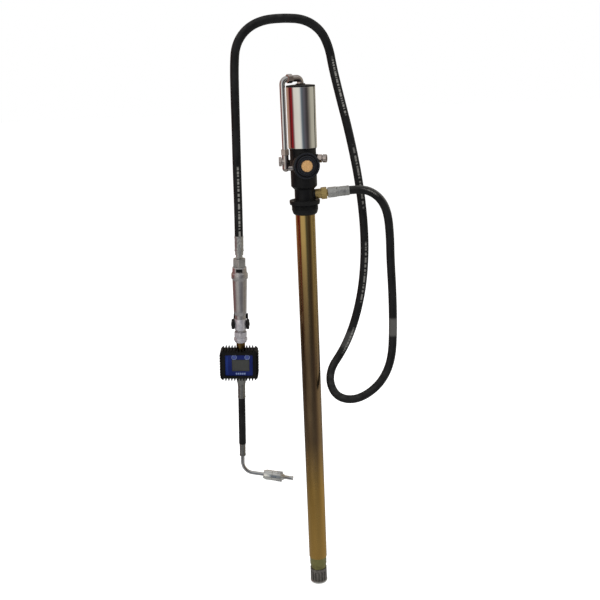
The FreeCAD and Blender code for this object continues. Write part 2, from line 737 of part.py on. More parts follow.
def line_wire():
    low = line_point(LINE_REACH, LINE_LOW)
    bend_start = line_point(LINE_REACH, LINE_Z - LINE_BEND)
    slant = LINE_BEND * math.sin(math.radians(45))
    bend_mid = line_point(LINE_REACH - LINE_BEND + slant, LINE_Z - LINE_BEND + slant)
    bend_end = line_point(LINE_REACH - LINE_BEND, LINE_Z)
    end = line_point(LINE_END, LINE_Z)
    return Part.Wire([Part.LineSegment(low, bend_start).toShape(),
                      Part.Arc(bend_start, bend_mid, bend_end).toShape(),
                      Part.LineSegment(bend_end, end).toShape()])


def transfer_tube():
    wire = line_wire()
    return swept(wire, UP, LINE_R).cut(swept(wire, UP, LINE_R - LINE_WALL))


def transfer_nuts():
    """Union nuts at both ends of the transfer tube, and the plug of the lower fitting."""
    top = nut(TOP_NUT_IN, TOP_NUT_OUT, LINE_NUT_AF)
    top = top.cut(rod(TOP_NUT_IN - 1, TOP_NUT_OUT + 1, LINE_R + SLIP))
    low = nut(FITTING_TOP, FITTING_TOP + LINE_NUT_H, LINE_NUT_AF)
    low = low.cut(rod(FITTING_TOP - 1, FITTING_TOP + LINE_NUT_H + 1, LINE_R + SLIP))
    plug = nut(FITTING_R + 1, FITTING_R + 1 + PLUG_HEX_H, PLUG_HEX_AF)
    screw = rod(FITTING_BORE_R + 1, FITTING_R + 1, FITTING_BORE_R - SLIP)
    side = aim(joined([plug, screw]), Vector(LINE_X, LINE_Y, FITTING_PLUG_Z), -X)
    return Part.makeCompound([level(top, LINE_Z, LINE_WAY), moved(low, LINE_X, LINE_Y, 0), side])


def elbow_wire(z_low):
    """Middle line of the elbow, from a height on the cap's axis to the tube's nut."""
    wire, radii = rounded_wire([UP * z_low, UP * LINE_Z, line_point(TOP_NUT_IN, LINE_Z)], ELBOW_BEND)
    return wire


def top_elbow():
    nut_top = BOSS_TOP + ELBOW_NUT_H
    straight_low = min(nut_top, LINE_Z - ELBOW_BEND) - 1
    body = joined([nut(BOSS_TOP, nut_top, ELBOW_R * 2),
                   rod(BOSS_TOP - 8, BOSS_TOP + 1, CAP_PORT_R - SLIP),
                   swept(elbow_wire(straight_low), UP, ELBOW_R - 0.2)])
    socket = level(rod(LINE_END, TOP_NUT_IN + 1, LINE_R + SLIP), LINE_Z, LINE_WAY)
    return body.cut([swept(elbow_wire(BOSS_TOP - 9), UP, FITTING_BORE_R), socket])


def lower_fitting():
    place = Vector(LINE_X, LINE_Y, 0)
    stem = moved(rod(FITTING_PORT_Z, FITTING_TOP, FITTING_R), LINE_X, LINE_Y, 0)
    end = Part.makeSphere(FITTING_R, place + UP * FITTING_PORT_Z)
    side = aim(rod(0, FITTING_R + 1, FITTING_R - 0.4), place + UP * FITTING_PLUG_Z, -X)
    leg_end = -LINE_X - BODY_R + LEG_BURIED
    leg = aim(rod(0, leg_end, FITTING_LEG_R), place + UP * FITTING_PORT_Z, X)
    screw = aim(rod(leg_end - 1, leg_end + 7, FITTING_LEG_R - 1.2 - SLIP), place + UP * FITTING_PORT_Z, X)
    body = joined([stem, end, side, leg, screw])
    socket = moved(rod(LINE_LOW, FITTING_TOP + 1, LINE_R + SLIP), LINE_X, LINE_Y, 0)
    way_down = moved(rod(FITTING_PORT_Z, FITTING_TOP, FITTING_BORE_R - 1), LINE_X, LINE_Y, 0)
    way_in = aim(rod(0, leg_end + 8, FITTING_BORE_R - 1), place + UP * FITTING_PORT_Z, X)
    plug_hole = aim(rod(0, FITTING_R + 2, FITTING_BORE_R), place + UP * FITTING_PLUG_Z, -X)
    return body.cut([socket, way_down, way_in, plug_hole])


# ---- bung adaptor and suction tube ----
def bung_adaptor():
    skirt_low = -THREAD_LEN - SKIRT_LEN
    bore = TUBE_R + SLIP
    groove = pipe(-1, GASKET_H, GASKET_R + SLIP, GASKET_IN - SLIP)
    body = turned([
        (bore, skirt_low), (SKIRT_R, skirt_low), (SKIRT_R + SKIRT_CHAMFER, skirt_low + SKIRT_CHAMFER),
        (THREAD_R - THREAD_CHAMFER, -THREAD_LEN), (THREAD_R, -THREAD_LEN + THREAD_CHAMFER),
        (THREAD_R, 0), (FLANGE_R - 1, 0), (FLANGE_R, FLANGE_H - FLANGE_LIP), (FLANGE_R, FLANGE_H),
        (FLANGE_R - FLANGE_RIM, FLANGE_H), (FLANGE_R - FLANGE_RIM - FLANGE_RECESS, FLANGE_H - FLANGE_RECESS),
        (bore, FLANGE_H - FLANGE_RECESS)])
    return body.cut(groove)


def bung_gasket():
    return pipe(0, GASKET_H, GASKET_R, GASKET_IN)


def suction_tube():
    return pipe(TUBE_LOW, HEAD_LOW, TUBE_R, TUBE_BORE)


# ---- lower pump ----
def rod_coupling():
    body = turned([(0, COUPLING_TOP - COUPLING_LEN), (COUPLING_R - 2, COUPLING_TOP - COUPLING_LEN),
                   (COUPLING_R, COUPLING_TOP - COUPLING_LEN + 2), (COUPLING_R, COUPLING_TOP - 2),
                   (COUPLING_R - 2, COUPLING_TOP), (0, COUPLING_TOP)])
    upper = rod(ROD_MEET, COUPLING_TOP + 1, ROD_R + SLIP)
    lower = rod(COUPLING_TOP - COUPLING_LEN - 1, ROD_MEET, PUMP_ROD_R + SLIP)
    return body.cut([upper, lower])


def pump_rod():
    return rod(CAGE_TOP - ROD_THREAD, ROD_MEET, PUMP_ROD_R)


def pump_barrel():
    body = pipe(BARREL_LOW, BARREL_TOP, BARREL_R, BARREL_BORE)
    cross = aim(rod(-BARREL_R - 1, BARREL_R + 1, STOP_PIN_R + SLIP), Vector(0, 0, STOP_PIN_Z), X)
    return body.cut(cross)


def pump_piston():
    outer = BARREL_BORE - RUN
    chamber_r = DELIVERY_BALL_R + CHAMBER_GAP
    body = rod(DELIVERY_LOW, DELIVERY_TOP, outer)
    cuts = [rod(DELIVERY_LOW - 1, DELIVERY_TOP, DELIVERY_HOLE_R),
            rod(DELIVERY_SEAT, DELIVERY_TOP + 1, chamber_r)]
    for low in piston_seal_heights():
        cuts.append(piston_groove(low, PISTON_SEAL_H, outer, PISTON_SEAL_D))
    return body.cut(cuts)


def piston_seal_heights():
    gap = (DELIVERY_H - 2 * PISTON_SEAL_H) / 3
    return [DELIVERY_LOW + gap, DELIVERY_LOW + 2 * gap + PISTON_SEAL_H]


def piston_seals():
    outer = BARREL_BORE - RUN
    rings = [pipe(low, low + PISTON_SEAL_H, outer, outer - PISTON_SEAL_D) for low in piston_seal_heights()]
    return Part.makeCompound(rings)


def piston_cage():
    chamber_r = DELIVERY_BALL_R + CHAMBER_GAP
    body = turned([(0, DELIVERY_TOP), (CAGE_R, DELIVERY_TOP), (CAGE_R, CAGE_TOP - 3),
                   (CAGE_R - 3, CAGE_TOP), (0, CAGE_TOP)])
    cuts = [rod(DELIVERY_TOP - 1, CHAMBER_TOP, chamber_r),
            rod(CAGE_TOP - ROD_THREAD, CAGE_TOP + 1, PUMP_ROD_R + SLIP)]
    middle = (DELIVERY_TOP + CHAMBER_TOP) / 2
    window_h = min(CAGE_WINDOW_H, (CHAMBER_TOP - DELIVERY_TOP) * 0.7)
    for way in (X, Y):
        low = Vector(-CAGE_WINDOW_W / 2, -CAGE_R - 1, middle - window_h / 2)
        window = Part.makeBox(CAGE_WINDOW_W, 2 * CAGE_R + 2, window_h, low)
        if way is X:
            window.rotate(ORIGIN, UP, 90)
        cuts.append(window)
    return body.cut(cuts)


def piston_ball():
    return Part.makeSphere(DELIVERY_BALL_R, Vector(0, 0, DELIVERY_BALL_Z))


def foot_valve_body():
    low = STRAINER_TOP
    collar_low = TUBE_LOW - FOOT_COLLAR
    body = turned([
        (0, low - FOOT_NECK), (FOOT_NECK_R, low - FOOT_NECK), (FOOT_NECK_R, low),
        (FOOT_WAIST_R, low), (FOOT_WAIST_R, collar_low), (FOOT_R - 1.5, collar_low),
        (FOOT_R, collar_low + 1.5), (FOOT_R, TUBE_LOW - 1), (TUBE_R - 1, TUBE_LOW),
        (TUBE_BORE - SLIP, TUBE_LOW), (TUBE_BORE - SLIP, TUBE_LOW + FOOT_SPIGOT),
        (0, TUBE_LOW + FOOT_SPIGOT)])
    cuts = [rod(low - FOOT_NECK - 1, FOOT_SEAT + 1, FOOT_HOLE_R),
            rod(FOOT_SEAT, BARREL_LOW + 1, FOOT_CHAMBER_R),
            rod(BARREL_LOW, TUBE_LOW + FOOT_SPIGOT + 1, BARREL_R + SLIP)]
    return body.cut(cuts)


def foot_ball():
    return Part.makeSphere(FOOT_BALL_R, Vector(0, 0, FOOT_BALL_Z))


def ball_stop_pin():
    return aim(rod(-BARREL_R, BARREL_R, STOP_PIN_R), Vector(0, 0, STOP_PIN_Z), X)


def suction_strainer():
    low = STRAINER_TOP - STRAINER_H
    inner = STRAINER_R - STRAINER_WALL
    body = turned([
        (FOOT_NECK_R + SLIP, STRAINER_TOP), (FOOT_NECK_R + SLIP, STRAINER_TOP - STRAINER_PLATE),
        (inner, STRAINER_TOP - STRAINER_PLATE), (inner, low + STRAINER_PLATE),
        (0, low + STRAINER_PLATE), (0, low), (STRAINER_R - 2.5, low), (STRAINER_R, low + 2.5),
        (STRAINER_R, STRAINER_TOP)])
    slot_low = (STRAINER_TOP + low - SLOT_H) / 2
    cuts = []
    for i in range(STRAINER_SLOTS):
        slot = Part.makeBox(STRAINER_WALL + 4, SLOT_W, SLOT_H, Vector(inner - 2, -SLOT_W / 2, slot_low))
        slot.rotate(ORIGIN, UP, 360 * i / STRAINER_SLOTS)
        cuts.append(slot)
    for i in range(6):
        hole = rod(low - 1, low + STRAINER_PLATE + 1, 3.0)
        hole.translate(Vector(inner * 0.6, 0, 0))
        hole.rotate(ORIGIN, UP, 60 * i)
        cuts.append(hole)
    return body.cut(cuts)


# ---- outlet, hose and ferrules ----
HEX_X = OUTLET_BOSS_X + OUTLET_BARREL
HOSE_NUT_X = HEX_X + OUTLET_HEX_H + NUT_LEAD
FERRULE_X = HOSE_NUT_X + HOSE_NUT_H
HOSE_X = FERRULE_X + FERRULE_LEN


def outlet_nipple():
    hex_end = HEX_X + OUTLET_HEX_H
    nose_end = hex_end + OUTLET_NOSE
    body = joined([
        rod(OUTLET_BOSS_X - OUTLET_THREAD, OUTLET_BOSS_X, OUTLET_THREAD_R - SLIP),
        rod(OUTLET_BOSS_X, HEX_X, OUTLET_BARREL_R),
        nut(HEX_X, hex_end, OUTLET_HEX_AF),
        rod(hex_end, nose_end, OUTLET_NOSE_R)])
    body = body.cut(rod(OUTLET_BOSS_X - OUTLET_THREAD - 1, nose_end + 1, OUTLET_BORE_R))
    return level(body, OUTLET_Z, OUTLET_WAY)


def hose_nut():
    body = nut(HOSE_NUT_X, FERRULE_X, HOSE_NUT_AF)
    nose_end = HEX_X + OUTLET_HEX_H + OUTLET_NOSE
    body = body.cut([rod(HOSE_NUT_X - 1, nose_end, OUTLET_NOSE_R + SLIP),
                     rod(nose_end - 1, FERRULE_X + 1, SWIVEL_R + SLIP)])
    return level(body, OUTLET_Z, OUTLET_WAY)


def crimped_ferrule(length, radius, step, bore):
    """Sleeve with shallow crimp waves, from 0 up to its length."""
    waves = 4
    pitch = length / waves
    points = [(bore, 0)]
    for i in range(waves):
        low = pitch * i
        points += [(radius - 0.5, low), (radius, low + 1.2), (radius, low + pitch - step),
                   (radius - 0.5, low + pitch - step + 0.6)]
    return turned(points + [(radius - 0.5, length), (bore, length)])


def hose_ferrule():
    """Ferrule on the pump's end of the hose, with its tail inside the nut."""
    sleeve = moved(crimped_ferrule(FERRULE_LEN, FERRULE_R, FERRULE_STEP, OUTLET_BORE_R), 0, 0, FERRULE_X)
    nose_end = HEX_X + OUTLET_HEX_H + OUTLET_NOSE
    tail = pipe(nose_end, FERRULE_X, SWIVEL_R, OUTLET_BORE_R)
    return level(joined([sleeve, tail]), OUTLET_Z, OUTLET_WAY)


def hose_points():
    gun_way = Rotation(Y, GUN_LEAN).multVec(UP)
    outlet = UP * OUTLET_Z
    start = [outlet + OUTLET_WAY * HOSE_X, outlet + OUTLET_WAY * (HOSE_X + HOSE_LEAD)]
    end = [GUN_TOP + gun_way * HOSE_TAIL, GUN_TOP]
    return start + [Vector(*p) for p in HOSE_ROUTE] + end


def hose():
    wire, radii = rounded_wire(hose_points())
    tube = swept(wire, OUTLET_WAY, HOSE_R)
    wanted = math.pi * HOSE_R ** 2 * wire.Length
    print("hose length %.1f, bend radii %s" % (wire.Length, [round(r) for r in radii]))
    print("hose volume %.0f, section times length %.0f" % (tube.Volume, wanted))
    return tube


# ---- control gun ----
def gun_ferrule():
    sleeve = moved(crimped_ferrule(GUN_FERRULE, GUN_FERRULE_R, FERRULE_STEP, OUTLET_BORE_R), 0, 0, -GUN_FERRULE)
    tail = turned([
        (OUTLET_BORE_R, -GUN_FERRULE), (CRIMP_R, -GUN_FERRULE), (CRIMP_R, CRIMP_LOW),
        (STEM_R, CRIMP_LOW), (STEM_R, NUT_TOP + END_GAP), (SWIVEL_R, NUT_TOP + END_GAP),
        (SWIVEL_R, COLLAR_TOP - GUN_SPIGOT), (OUTLET_BORE_R, COLLAR_TOP - GUN_SPIGOT)])
    return joined([sleeve, tail])


def gun_inlet_nut():
    body = joined([nut(COLLAR_TOP, NUT_TOP, GUN_NUT_AF),
                   rod(COLLAR_TOP - GUN_SPIGOT, COLLAR_TOP, GUN_SPIGOT_R - SLIP)])
    return body.cut(rod(COLLAR_TOP - GUN_SPIGOT - 1, NUT_TOP + 1, SWIVEL_R + RUN))


def gun_body():
    outside = turned([
        (0, UNION_TOP - UNION_THREAD), (UNION_THREAD_R, UNION_TOP - UNION_THREAD),
        (UNION_THREAD_R, UNION_TOP), (LUG_R, UNION_TOP), (LUG_R, LUG_TOP),
        (VALVE_R, LUG_TOP + 2), (VALVE_R, VALVE_TOP - 3), (GUN_NECK_R, VALVE_TOP),
        (GUN_NECK_R, NECK_TOP - 3), (HANDLE_END_R, NECK_TOP + 3), (HANDLE_R, HANDLE_TOP - 6),
        (HANDLE_R, HANDLE_TOP), (BAND_R, HANDLE_TOP + 2), (BAND_R, BAND_TOP - 2),
        (COLLAR_R, BAND_TOP), (COLLAR_R, COLLAR_TOP - 2), (COLLAR_R - 2, COLLAR_TOP),
        (0, COLLAR_TOP)])
    lug = Part.makeBox(GUARD_W, LUG_R + LUG_REACH, LUG_H, Vector(-GUARD_W / 2, 0, UNION_TOP))
    body = joined([outside, lug])
    socket_low = COLLAR_TOP - GUN_SPIGOT - END_GAP
    cuts = [rod(socket_low, COLLAR_TOP + 1, GUN_SPIGOT_R),
            rod(UNION_TOP - UNION_THREAD - 1, socket_low + 1, GUN_BORE_R),
            aim(rod(0, VALVE_R + 2, STEM_PIN_R + RUN), Vector(0, 0, PIVOT_Z + STEM_PIN_Z), Y)]
    pivot_hole = rod(VALVE_R - PIVOT_DEPTH, VALVE_R + 1, PIVOT_R + SLIP)
    for side in (1, -1):
        cuts.append(aim(pivot_hole, Vector(0, 0, PIVOT_Z), X * side))
    return body.cut(cuts)


def trigger_pins():
    """Shouldered screws that carry the trigger's two cheeks."""
    pins = []
    for side in (1, -1):
        pin = rod(VALVE_R - PIVOT_DEPTH, CHEEK_IN + CHEEK_T + 1.2, PIVOT_R)
        pins.append(aim(pin, Vector(0, 0, PIVOT_Z), X * side))
    return Part.makeCompound(pins)


def profile_yz(points, x_low, width):
    corners = [Vector(x_low, y, z) for y, z in points]
    return Part.Face(Part.makePolygon(corners + corners[:1])).extrude(X * width)


def trigger():
    tip_z = PIVOT_Z + LEVER_TOP
    knee_z = PIVOT_Z + LEVER_KNEE_Z
    bar_low = PIVOT_Z + STEM_PIN_Z - BAR_H / 2
    wide = CHEEK_IN + ARM_T
    arm = [(-4, PIVOT_Z + 4), (BAR_Y, bar_low + BAR_H), (BAR_Y + BAR_T, bar_low + BAR_H),
           (BAR_Y + BAR_T, bar_low), (4, PIVOT_Z - 8)]
    blade = [(BAR_Y, bar_low + BAR_H - 2), (LEVER_KNEE_Y, knee_z + 10), (LEVER_TIP_Y, tip_z),
             (LEVER_TIP_Y + 1, tip_z + 3), (LEVER_TIP_Y + LEVER_T, tip_z + 3),
             (LEVER_TIP_Y + LEVER_T, tip_z), (LEVER_KNEE_Y + LEVER_T + 1, knee_z + 4),
             (BAR_Y + BAR_T, bar_low + BAR_H - 4)]
    pieces = [profile_yz(blade, -LEVER_W / 2, LEVER_W),
              Part.makeBox(2 * wide, BAR_T, BAR_H, Vector(-wide, BAR_Y, bar_low))]
    pivot = Vector(0, 0, PIVOT_Z)
    cheek = rod(CHEEK_IN, CHEEK_IN + CHEEK_T, CHEEK_R)
    hole = rod(CHEEK_IN - 1, CHEEK_IN + CHEEK_T + 1, PIVOT_R + RUN)
    for side in (1, -1):
        pieces.append(profile_yz(arm, min(side * CHEEK_IN, side * wide), ARM_T))
        pieces.append(aim(cheek, pivot, X * side))
    return joined(pieces).cut([aim(hole, pivot, X * side) for side in (1, -1)])


def valve_stem():
    tip_y = BAR_Y - STEM_PIN_GAP
    start = tip_y - STEM_PIN_LEN
    pin = rod(start, tip_y - STEM_PIN_R, STEM_PIN_R)
    dome = Part.makeSphere(STEM_PIN_R, Vector(0, 0, tip_y - STEM_PIN_R))
    return aim(joined([pin, dome]), Vector(0, 0, PIVOT_Z + STEM_PIN_Z), Y)


def trigger_guard():
    """Flat strip bowed behind the trigger, from the band to the lug."""
    top_z = BAND_TOP - BAND_H / 2
    low_z = UNION_TOP + LUG_H / 2
    top = Vector(0, BAND_R - 0.5, top_z)
    bottom = Vector(0, LUG_R + LUG_REACH, low_z)
    corner_top = Vector(0, GUARD_Y, top_z)
    corner_low = Vector(0, GUARD_Y - GUARD_SLOPE, low_z)
    wire, radii = rounded_wire([top, corner_top, corner_low, bottom], GUARD_ROUND)
    half_w = GUARD_W / 2
    half_t = GUARD_T / 2
    section = [top + Vector(x, 0, z) for x, z in
               ((-half_w, -half_t), (half_w, -half_t), (half_w, half_t), (-half_w, half_t))]
    profile = Part.makePolygon(section + section[:1])
    strip = wire.makePipeShell([profile], True, False)
    return strip.cut(rod(HANDLE_TOP, BAND_TOP, BAND_R))


def gun_union_nut():
    low = UNION_TOP - UNION_H
    hex_low = UNION_TOP - UNION_HEX_H
    step = (hex_low - low) / 4
    barrel = turned([
        (0, low), (UNION_R - 2, low), (UNION_R - 1.4, low + step), (UNION_R, low + step + 1),
        (UNION_R, hex_low - step), (UNION_R - 2.4, hex_low - step + 1.2), (UNION_R - 2.4, hex_low + 1),
        (0, hex_low + 1)])
    body = joined([nut(hex_low, UNION_TOP, UNION_AF), barrel])
    return body.cut([rod(NIPPLE_TOP, UNION_TOP + 1, UNION_THREAD_R + SLIP),
                     rod(low - 1, NIPPLE_TOP, NIPPLE_R + SLIP)])


def gun_outlet_nipple():
    body = joined([rod(METER_TOP, NIPPLE_TOP, NIPPLE_R),
                   rod(METER_TOP - PORT_DEPTH, METER_TOP, PORT_R - SLIP)])
    return body.cut(rod(METER_TOP - PORT_DEPTH - 1, NIPPLE_TOP + 1, GUN_BORE_R))


# ---- meter ----
def boot_cuts():
    """Notches between the ribs round the boot's four sides."""
    cuts = []
    for turn in range(4):
        side, across, ribs = (BOOT_W, BOOT_H, RIBS_ACROSS) if turn % 2 == 0 else (BOOT_H, BOOT_W, RIBS_UP)
        pitch = (side - 2 * RIB_EDGE) / (ribs - 1)
        for i in range(ribs - 1):
            start = -side / 2 + RIB_EDGE + pitch * i + RIB_WIDTH / 2
            notch = Part.makeBox(pitch - RIB_WIDTH, BOOT_DEPTH + 4, RIB_DEPTH + 1,
                                 Vector(start, BOOT_FRONT - 2, across / 2 - RIB_DEPTH))
            notch.rotate(ORIGIN, Y, 90 * turn)
            cuts.append(moved(notch, BOOT_SHIFT, 0, METER_Z))
    return cuts


def meter_boot():
    back = BOOT_FRONT + BOOT_DEPTH
    body = plate(BOOT_W, BOOT_H, BOOT_FRONT, back, BOOT_ROUND, BOOT_SHIFT, METER_Z)
    inside = plate(METER_W + 2 * SLIP, METER_H + 2 * SLIP, METER_FRONT, back + 1, METER_ROUND,
                   BOOT_SHIFT, METER_Z)
    window = plate(PANEL_W + 2 * SLIP, PANEL_H + 2 * SLIP, BOOT_FRONT - 1, METER_FRONT + 1,
                   PANEL_ROUND, BOOT_SHIFT, METER_Z)
    ports = rod(METER_LOW - 2 * BOOT_WALL, METER_TOP + 2 * BOOT_WALL, ADAPTOR_R + SLIP)
    return body.cut([inside, window, ports] + boot_cuts())


def gear_pocket(sign):
    tip = GEAR_PITCH_R + GEAR_MODULE * GEAR_ADDENDUM + GEAR_TIP_GAP
    place = Vector(sign * GEAR_PITCH_R, METER_BACK - GEAR_POCKET, METER_Z)
    return aim(rod(0, GEAR_POCKET + 1, tip), place, Y)


def pin_hole(sign, y_low, length):
    return aim(rod(0, length, GEAR_PIN_R + RUN), Vector(sign * GEAR_PITCH_R, y_low, METER_Z), Y)


def meter_body():
    body = plate(METER_W, METER_H, METER_FRONT, METER_BACK, METER_ROUND, BOOT_SHIFT, METER_Z)
    floor = METER_BACK - GEAR_POCKET
    cuts = [rod(METER_TOP - PORT_DEPTH, METER_TOP + 1, PORT_R),
            rod(METER_LOW - 1, METER_LOW + PORT_DEPTH, PORT_R)]
    cuts.append(rod(METER_Z + METER_WALL / 2, METER_TOP, GUN_BORE_R))
    cuts.append(rod(METER_LOW, METER_Z - METER_WALL / 2, GUN_BORE_R))
    for sign in (1, -1):
        cuts.append(gear_pocket(sign))
        cuts.append(pin_hole(sign, floor - GEAR_PIN_LEN - GEAR_PIN_GAP, GEAR_PIN_LEN + 1))
    return body.cut(cuts)


def meter_rear_cover():
    body = plate(METER_W - 2 * COVER_EDGE, METER_H - 2 * COVER_EDGE, METER_BACK, METER_BACK + COVER_T,
                 METER_ROUND, BOOT_SHIFT, METER_Z)
    cuts = [pin_hole(sign, METER_BACK - 1, GEAR_PIN_LEN + GEAR_PIN_GAP + 1) for sign in (1, -1)]
    return body.cut(cuts)


def involute(base_r, radius):
    """Polar angle of the involute at a radius."""
    roll = math.sqrt((radius / base_r) ** 2 - 1)
    return roll - math.atan(roll)


def spur_gear():
    """A spur gear on its pin, with a tooth pointing along +X, from 0 up."""
    pitch_r = GEAR_PITCH_R
    base_r = pitch_r * math.cos(math.radians(GEAR_PRESSURE))
    tip_r = pitch_r + GEAR_MODULE * GEAR_ADDENDUM
    root_r = pitch_r - GEAR_MODULE * GEAR_DEDENDUM
    start_r = max(base_r, root_r + 0.05)
    half_tooth = math.pi / (2 * GEAR_TEETH) - GEAR_BACKLASH / (2 * pitch_r)
    at_pitch = involute(base_r, pitch_r)
    steps = [start_r + (tip_r - start_r) * i / 5 for i in range(6)]
    flank = [(r, half_tooth + at_pitch - involute(base_r, r)) for r in steps]
    points = []
    for tooth in range(GEAR_TEETH):
        middle = 2 * math.pi * tooth / GEAR_TEETH
        side = [(root_r, flank[0][1])] + flank
        for r, a in side:
            points.append(Vector(r * math.cos(middle - a), r * math.sin(middle - a), 0))
        for r, a in reversed(side):
            points.append(Vector(r * math.cos(middle + a), r * math.sin(middle + a), 0))
    blank = Part.Face(Part.makePolygon(points + points[:1])).extrude(UP * GEAR_W)
    return joined([blank, rod(-GEAR_PIN_LEN, GEAR_W + GEAR_PIN_LEN, GEAR_PIN_R)])


def meter_gear(sign):
    """One of the two measuring gears; the left one starts half a tooth round."""
    gear = spur_gear()
    if sign < 0:
        gear.rotate(ORIGIN, UP, 180.0 / GEAR_TEETH)
    low = METER_BACK - GEAR_POCKET + (GEAR_POCKET - GEAR_W) / 2
    return aim(gear, Vector(sign * GEAR_PITCH_R, low, METER_Z), Y)


def meter_panel():
    front = METER_FRONT - PANEL_T
    body = plate(PANEL_W, PANEL_H, front, METER_FRONT, PANEL_ROUND, BOOT_SHIFT, METER_Z)
    screen = plate(DISPLAY_W + 2 * SLIP, DISPLAY_H + 2 * SLIP, front - 1, front + DISPLAY_T,
                   1.0, BOOT_SHIFT + DISPLAY_X, METER_Z)
    cuts = [screen]
    for x in (BUTTON_LEFT_X, BUTTON_RIGHT_X):
        cuts.append(aim(rod(-1, PANEL_T + 1, BUTTON_R + BUTTON_GAP), button_place(x, front), Y))
    return body.cut(cuts)


def meter_display():
    front = METER_FRONT - PANEL_T
    return plate(DISPLAY_W, DISPLAY_H, front, front + DISPLAY_T, 1.0, BOOT_SHIFT + DISPLAY_X, METER_Z)


def button_place(x, y):
    return Vector(BOOT_SHIFT + x, y, METER_Z + PANEL_H / 2 - BUTTON_DROP)


def meter_button(x):
    length = BUTTON_PROUD + PANEL_T - BUTTON_TRAVEL - 0.4
    dome = turned([(0, 0), (BUTTON_R - 1.2, 0), (BUTTON_R, 1.0), (BUTTON_R, length), (0, length)])
    return aim(dome, button_place(x, METER_FRONT - PANEL_T - BUTTON_PROUD), Y)


# ---- spout and nozzle ----
def spout_adaptor():
    body = turned([
        (SPOUT_BORE_R, METER_LOW + PORT_DEPTH), (PORT_R - SLIP, METER_LOW + PORT_DEPTH),
        (PORT_R - SLIP, METER_LOW), (ADAPTOR_R, METER_LOW), (ADAPTOR_R, METER_LOW - ADAPTOR_H * 0.55),
        (SPOUT_FERRULE_R, ADAPTOR_LOW), (SPOUT_BORE_R, ADAPTOR_LOW)])
    return body


def spout_ferrules():
    upper = crimped_ferrule(SPOUT_FERRULE, SPOUT_FERRULE_R, FERRULE_STEP, SPOUT_BORE_R)
    lower = crimped_ferrule(TAIL_FERRULE, TAIL_FERRULE_R, FERRULE_STEP, SPOUT_BORE_R)
    return Part.makeCompound([moved(upper, 0, 0, SPOUT_HOSE_TOP), moved(lower, 0, 0, PIPE_TOP)])


def spout_hose():
    return pipe(SPOUT_HOSE_LOW, SPOUT_HOSE_TOP, SPOUT_HOSE_R, SPOUT_BORE_R)


NOZZLE_WAY = Rotation(Y, -PIPE_TURN).multVec(-UP)
CORNER = Vector(0, 0, CORNER_Z)


def spout_pipe():
    end = CORNER + NOZZLE_WAY * (PIPE_REACH + PIPE_DEPTH)
    wire, radii = rounded_wire([Vector(0, 0, PIPE_TOP), CORNER, end], PIPE_BEND)
    return swept(wire, UP, PIPE_R).cut(swept(wire, UP, PIPE_R - PIPE_WALL))


def nozzle_body():
    low = PIPE_REACH
    end = low + NOZZLE_BODY
    body = turned([(0, low), (NOZZLE_BACK_R, low), (NOZZLE_R, low + NOZZLE_BACK), (NOZZLE_R, end),
                   (NOZZLE_SPIGOT_R, end), (NOZZLE_SPIGOT_R, end + NOZZLE_SPIGOT), (0, end + NOZZLE_SPIGOT)])
    body = body.cut([rod(low - 1, low + PIPE_DEPTH, PIPE_R + SLIP),
                     rod(low, end + NOZZLE_SPIGOT + 1, PIPE_R - PIPE_WALL)])
    return aim(body, CORNER, NOZZLE_WAY)


def nozzle_sleeve():
    low = PIPE_REACH + NOZZLE_BODY + END_GAP
    taper = low + NOZZLE_SLEEVE
    tip = taper + NOZZLE_TAPER
    end = tip + TIP_LEN
    body = turned([(0, low), (NOZZLE_R, low), (NOZZLE_R, taper), (TIP_R, tip), (TIP_R, end - 2.5),
                   (TIP_R + 0.8, end - 1.5), (TIP_R + 0.8, end), (0, end)])
    body = body.cut([rod(low - 1, low + NOZZLE_SPIGOT + END_GAP, NOZZLE_SPIGOT_R + RUN),
                     rod(low, end + 1, TIP_BORE_R)])
    return aim(body, CORNER, NOZZLE_WAY)


# ---- every node of the assembly ----
PUMP_NODES = {
    "motor_cylinder": motor_cylinder(),
    "motor_top_cap": motor_top_cap(),
    "motor_seals": motor_seals(),
    "air_piston": air_piston(),
    "air_piston_seal": air_piston_seal(),
    "piston_nut": piston_nut(),
    "motor_rod": motor_rod(),
    "pump_head": pump_head(),
    "rod_gland": rod_gland(),
    "exhaust_cap": exhaust_cap(),
    "exhaust_silencer": exhaust_silencer(),
    "valve_spool": valve_spool(),
    "spool_plugs": spool_plugs(),
    "air_inlet_nipple": air_inlet_nipple(),
    "transfer_tube": transfer_tube(),
    "transfer_nuts": transfer_nuts(),
    "top_elbow": top_elbow(),
    "lower_fitting": lower_fitting(),
    "bung_adaptor": bung_adaptor(),
    "bung_gasket": bung_gasket(),
    "suction_tube": suction_tube(),
    "rod_coupling": rod_coupling(),
    "pump_rod": pump_rod(),
    "pump_barrel": pump_barrel(),
    "pump_piston": pump_piston(),
    "piston_seals": piston_seals(),
    "piston_cage": piston_cage(),
    "piston_ball": piston_ball(),
    "foot_valve_body": foot_valve_body(),
    "foot_ball": foot_ball(),
    "ball_stop_pin": ball_stop_pin(),
    "suction_strainer": suction_strainer(),
    "outlet_nipple": outlet_nipple(),
    "hose_nut": hose_nut(),
    "hose_ferrule": hose_ferrule(),
    "hose": hose(),
}
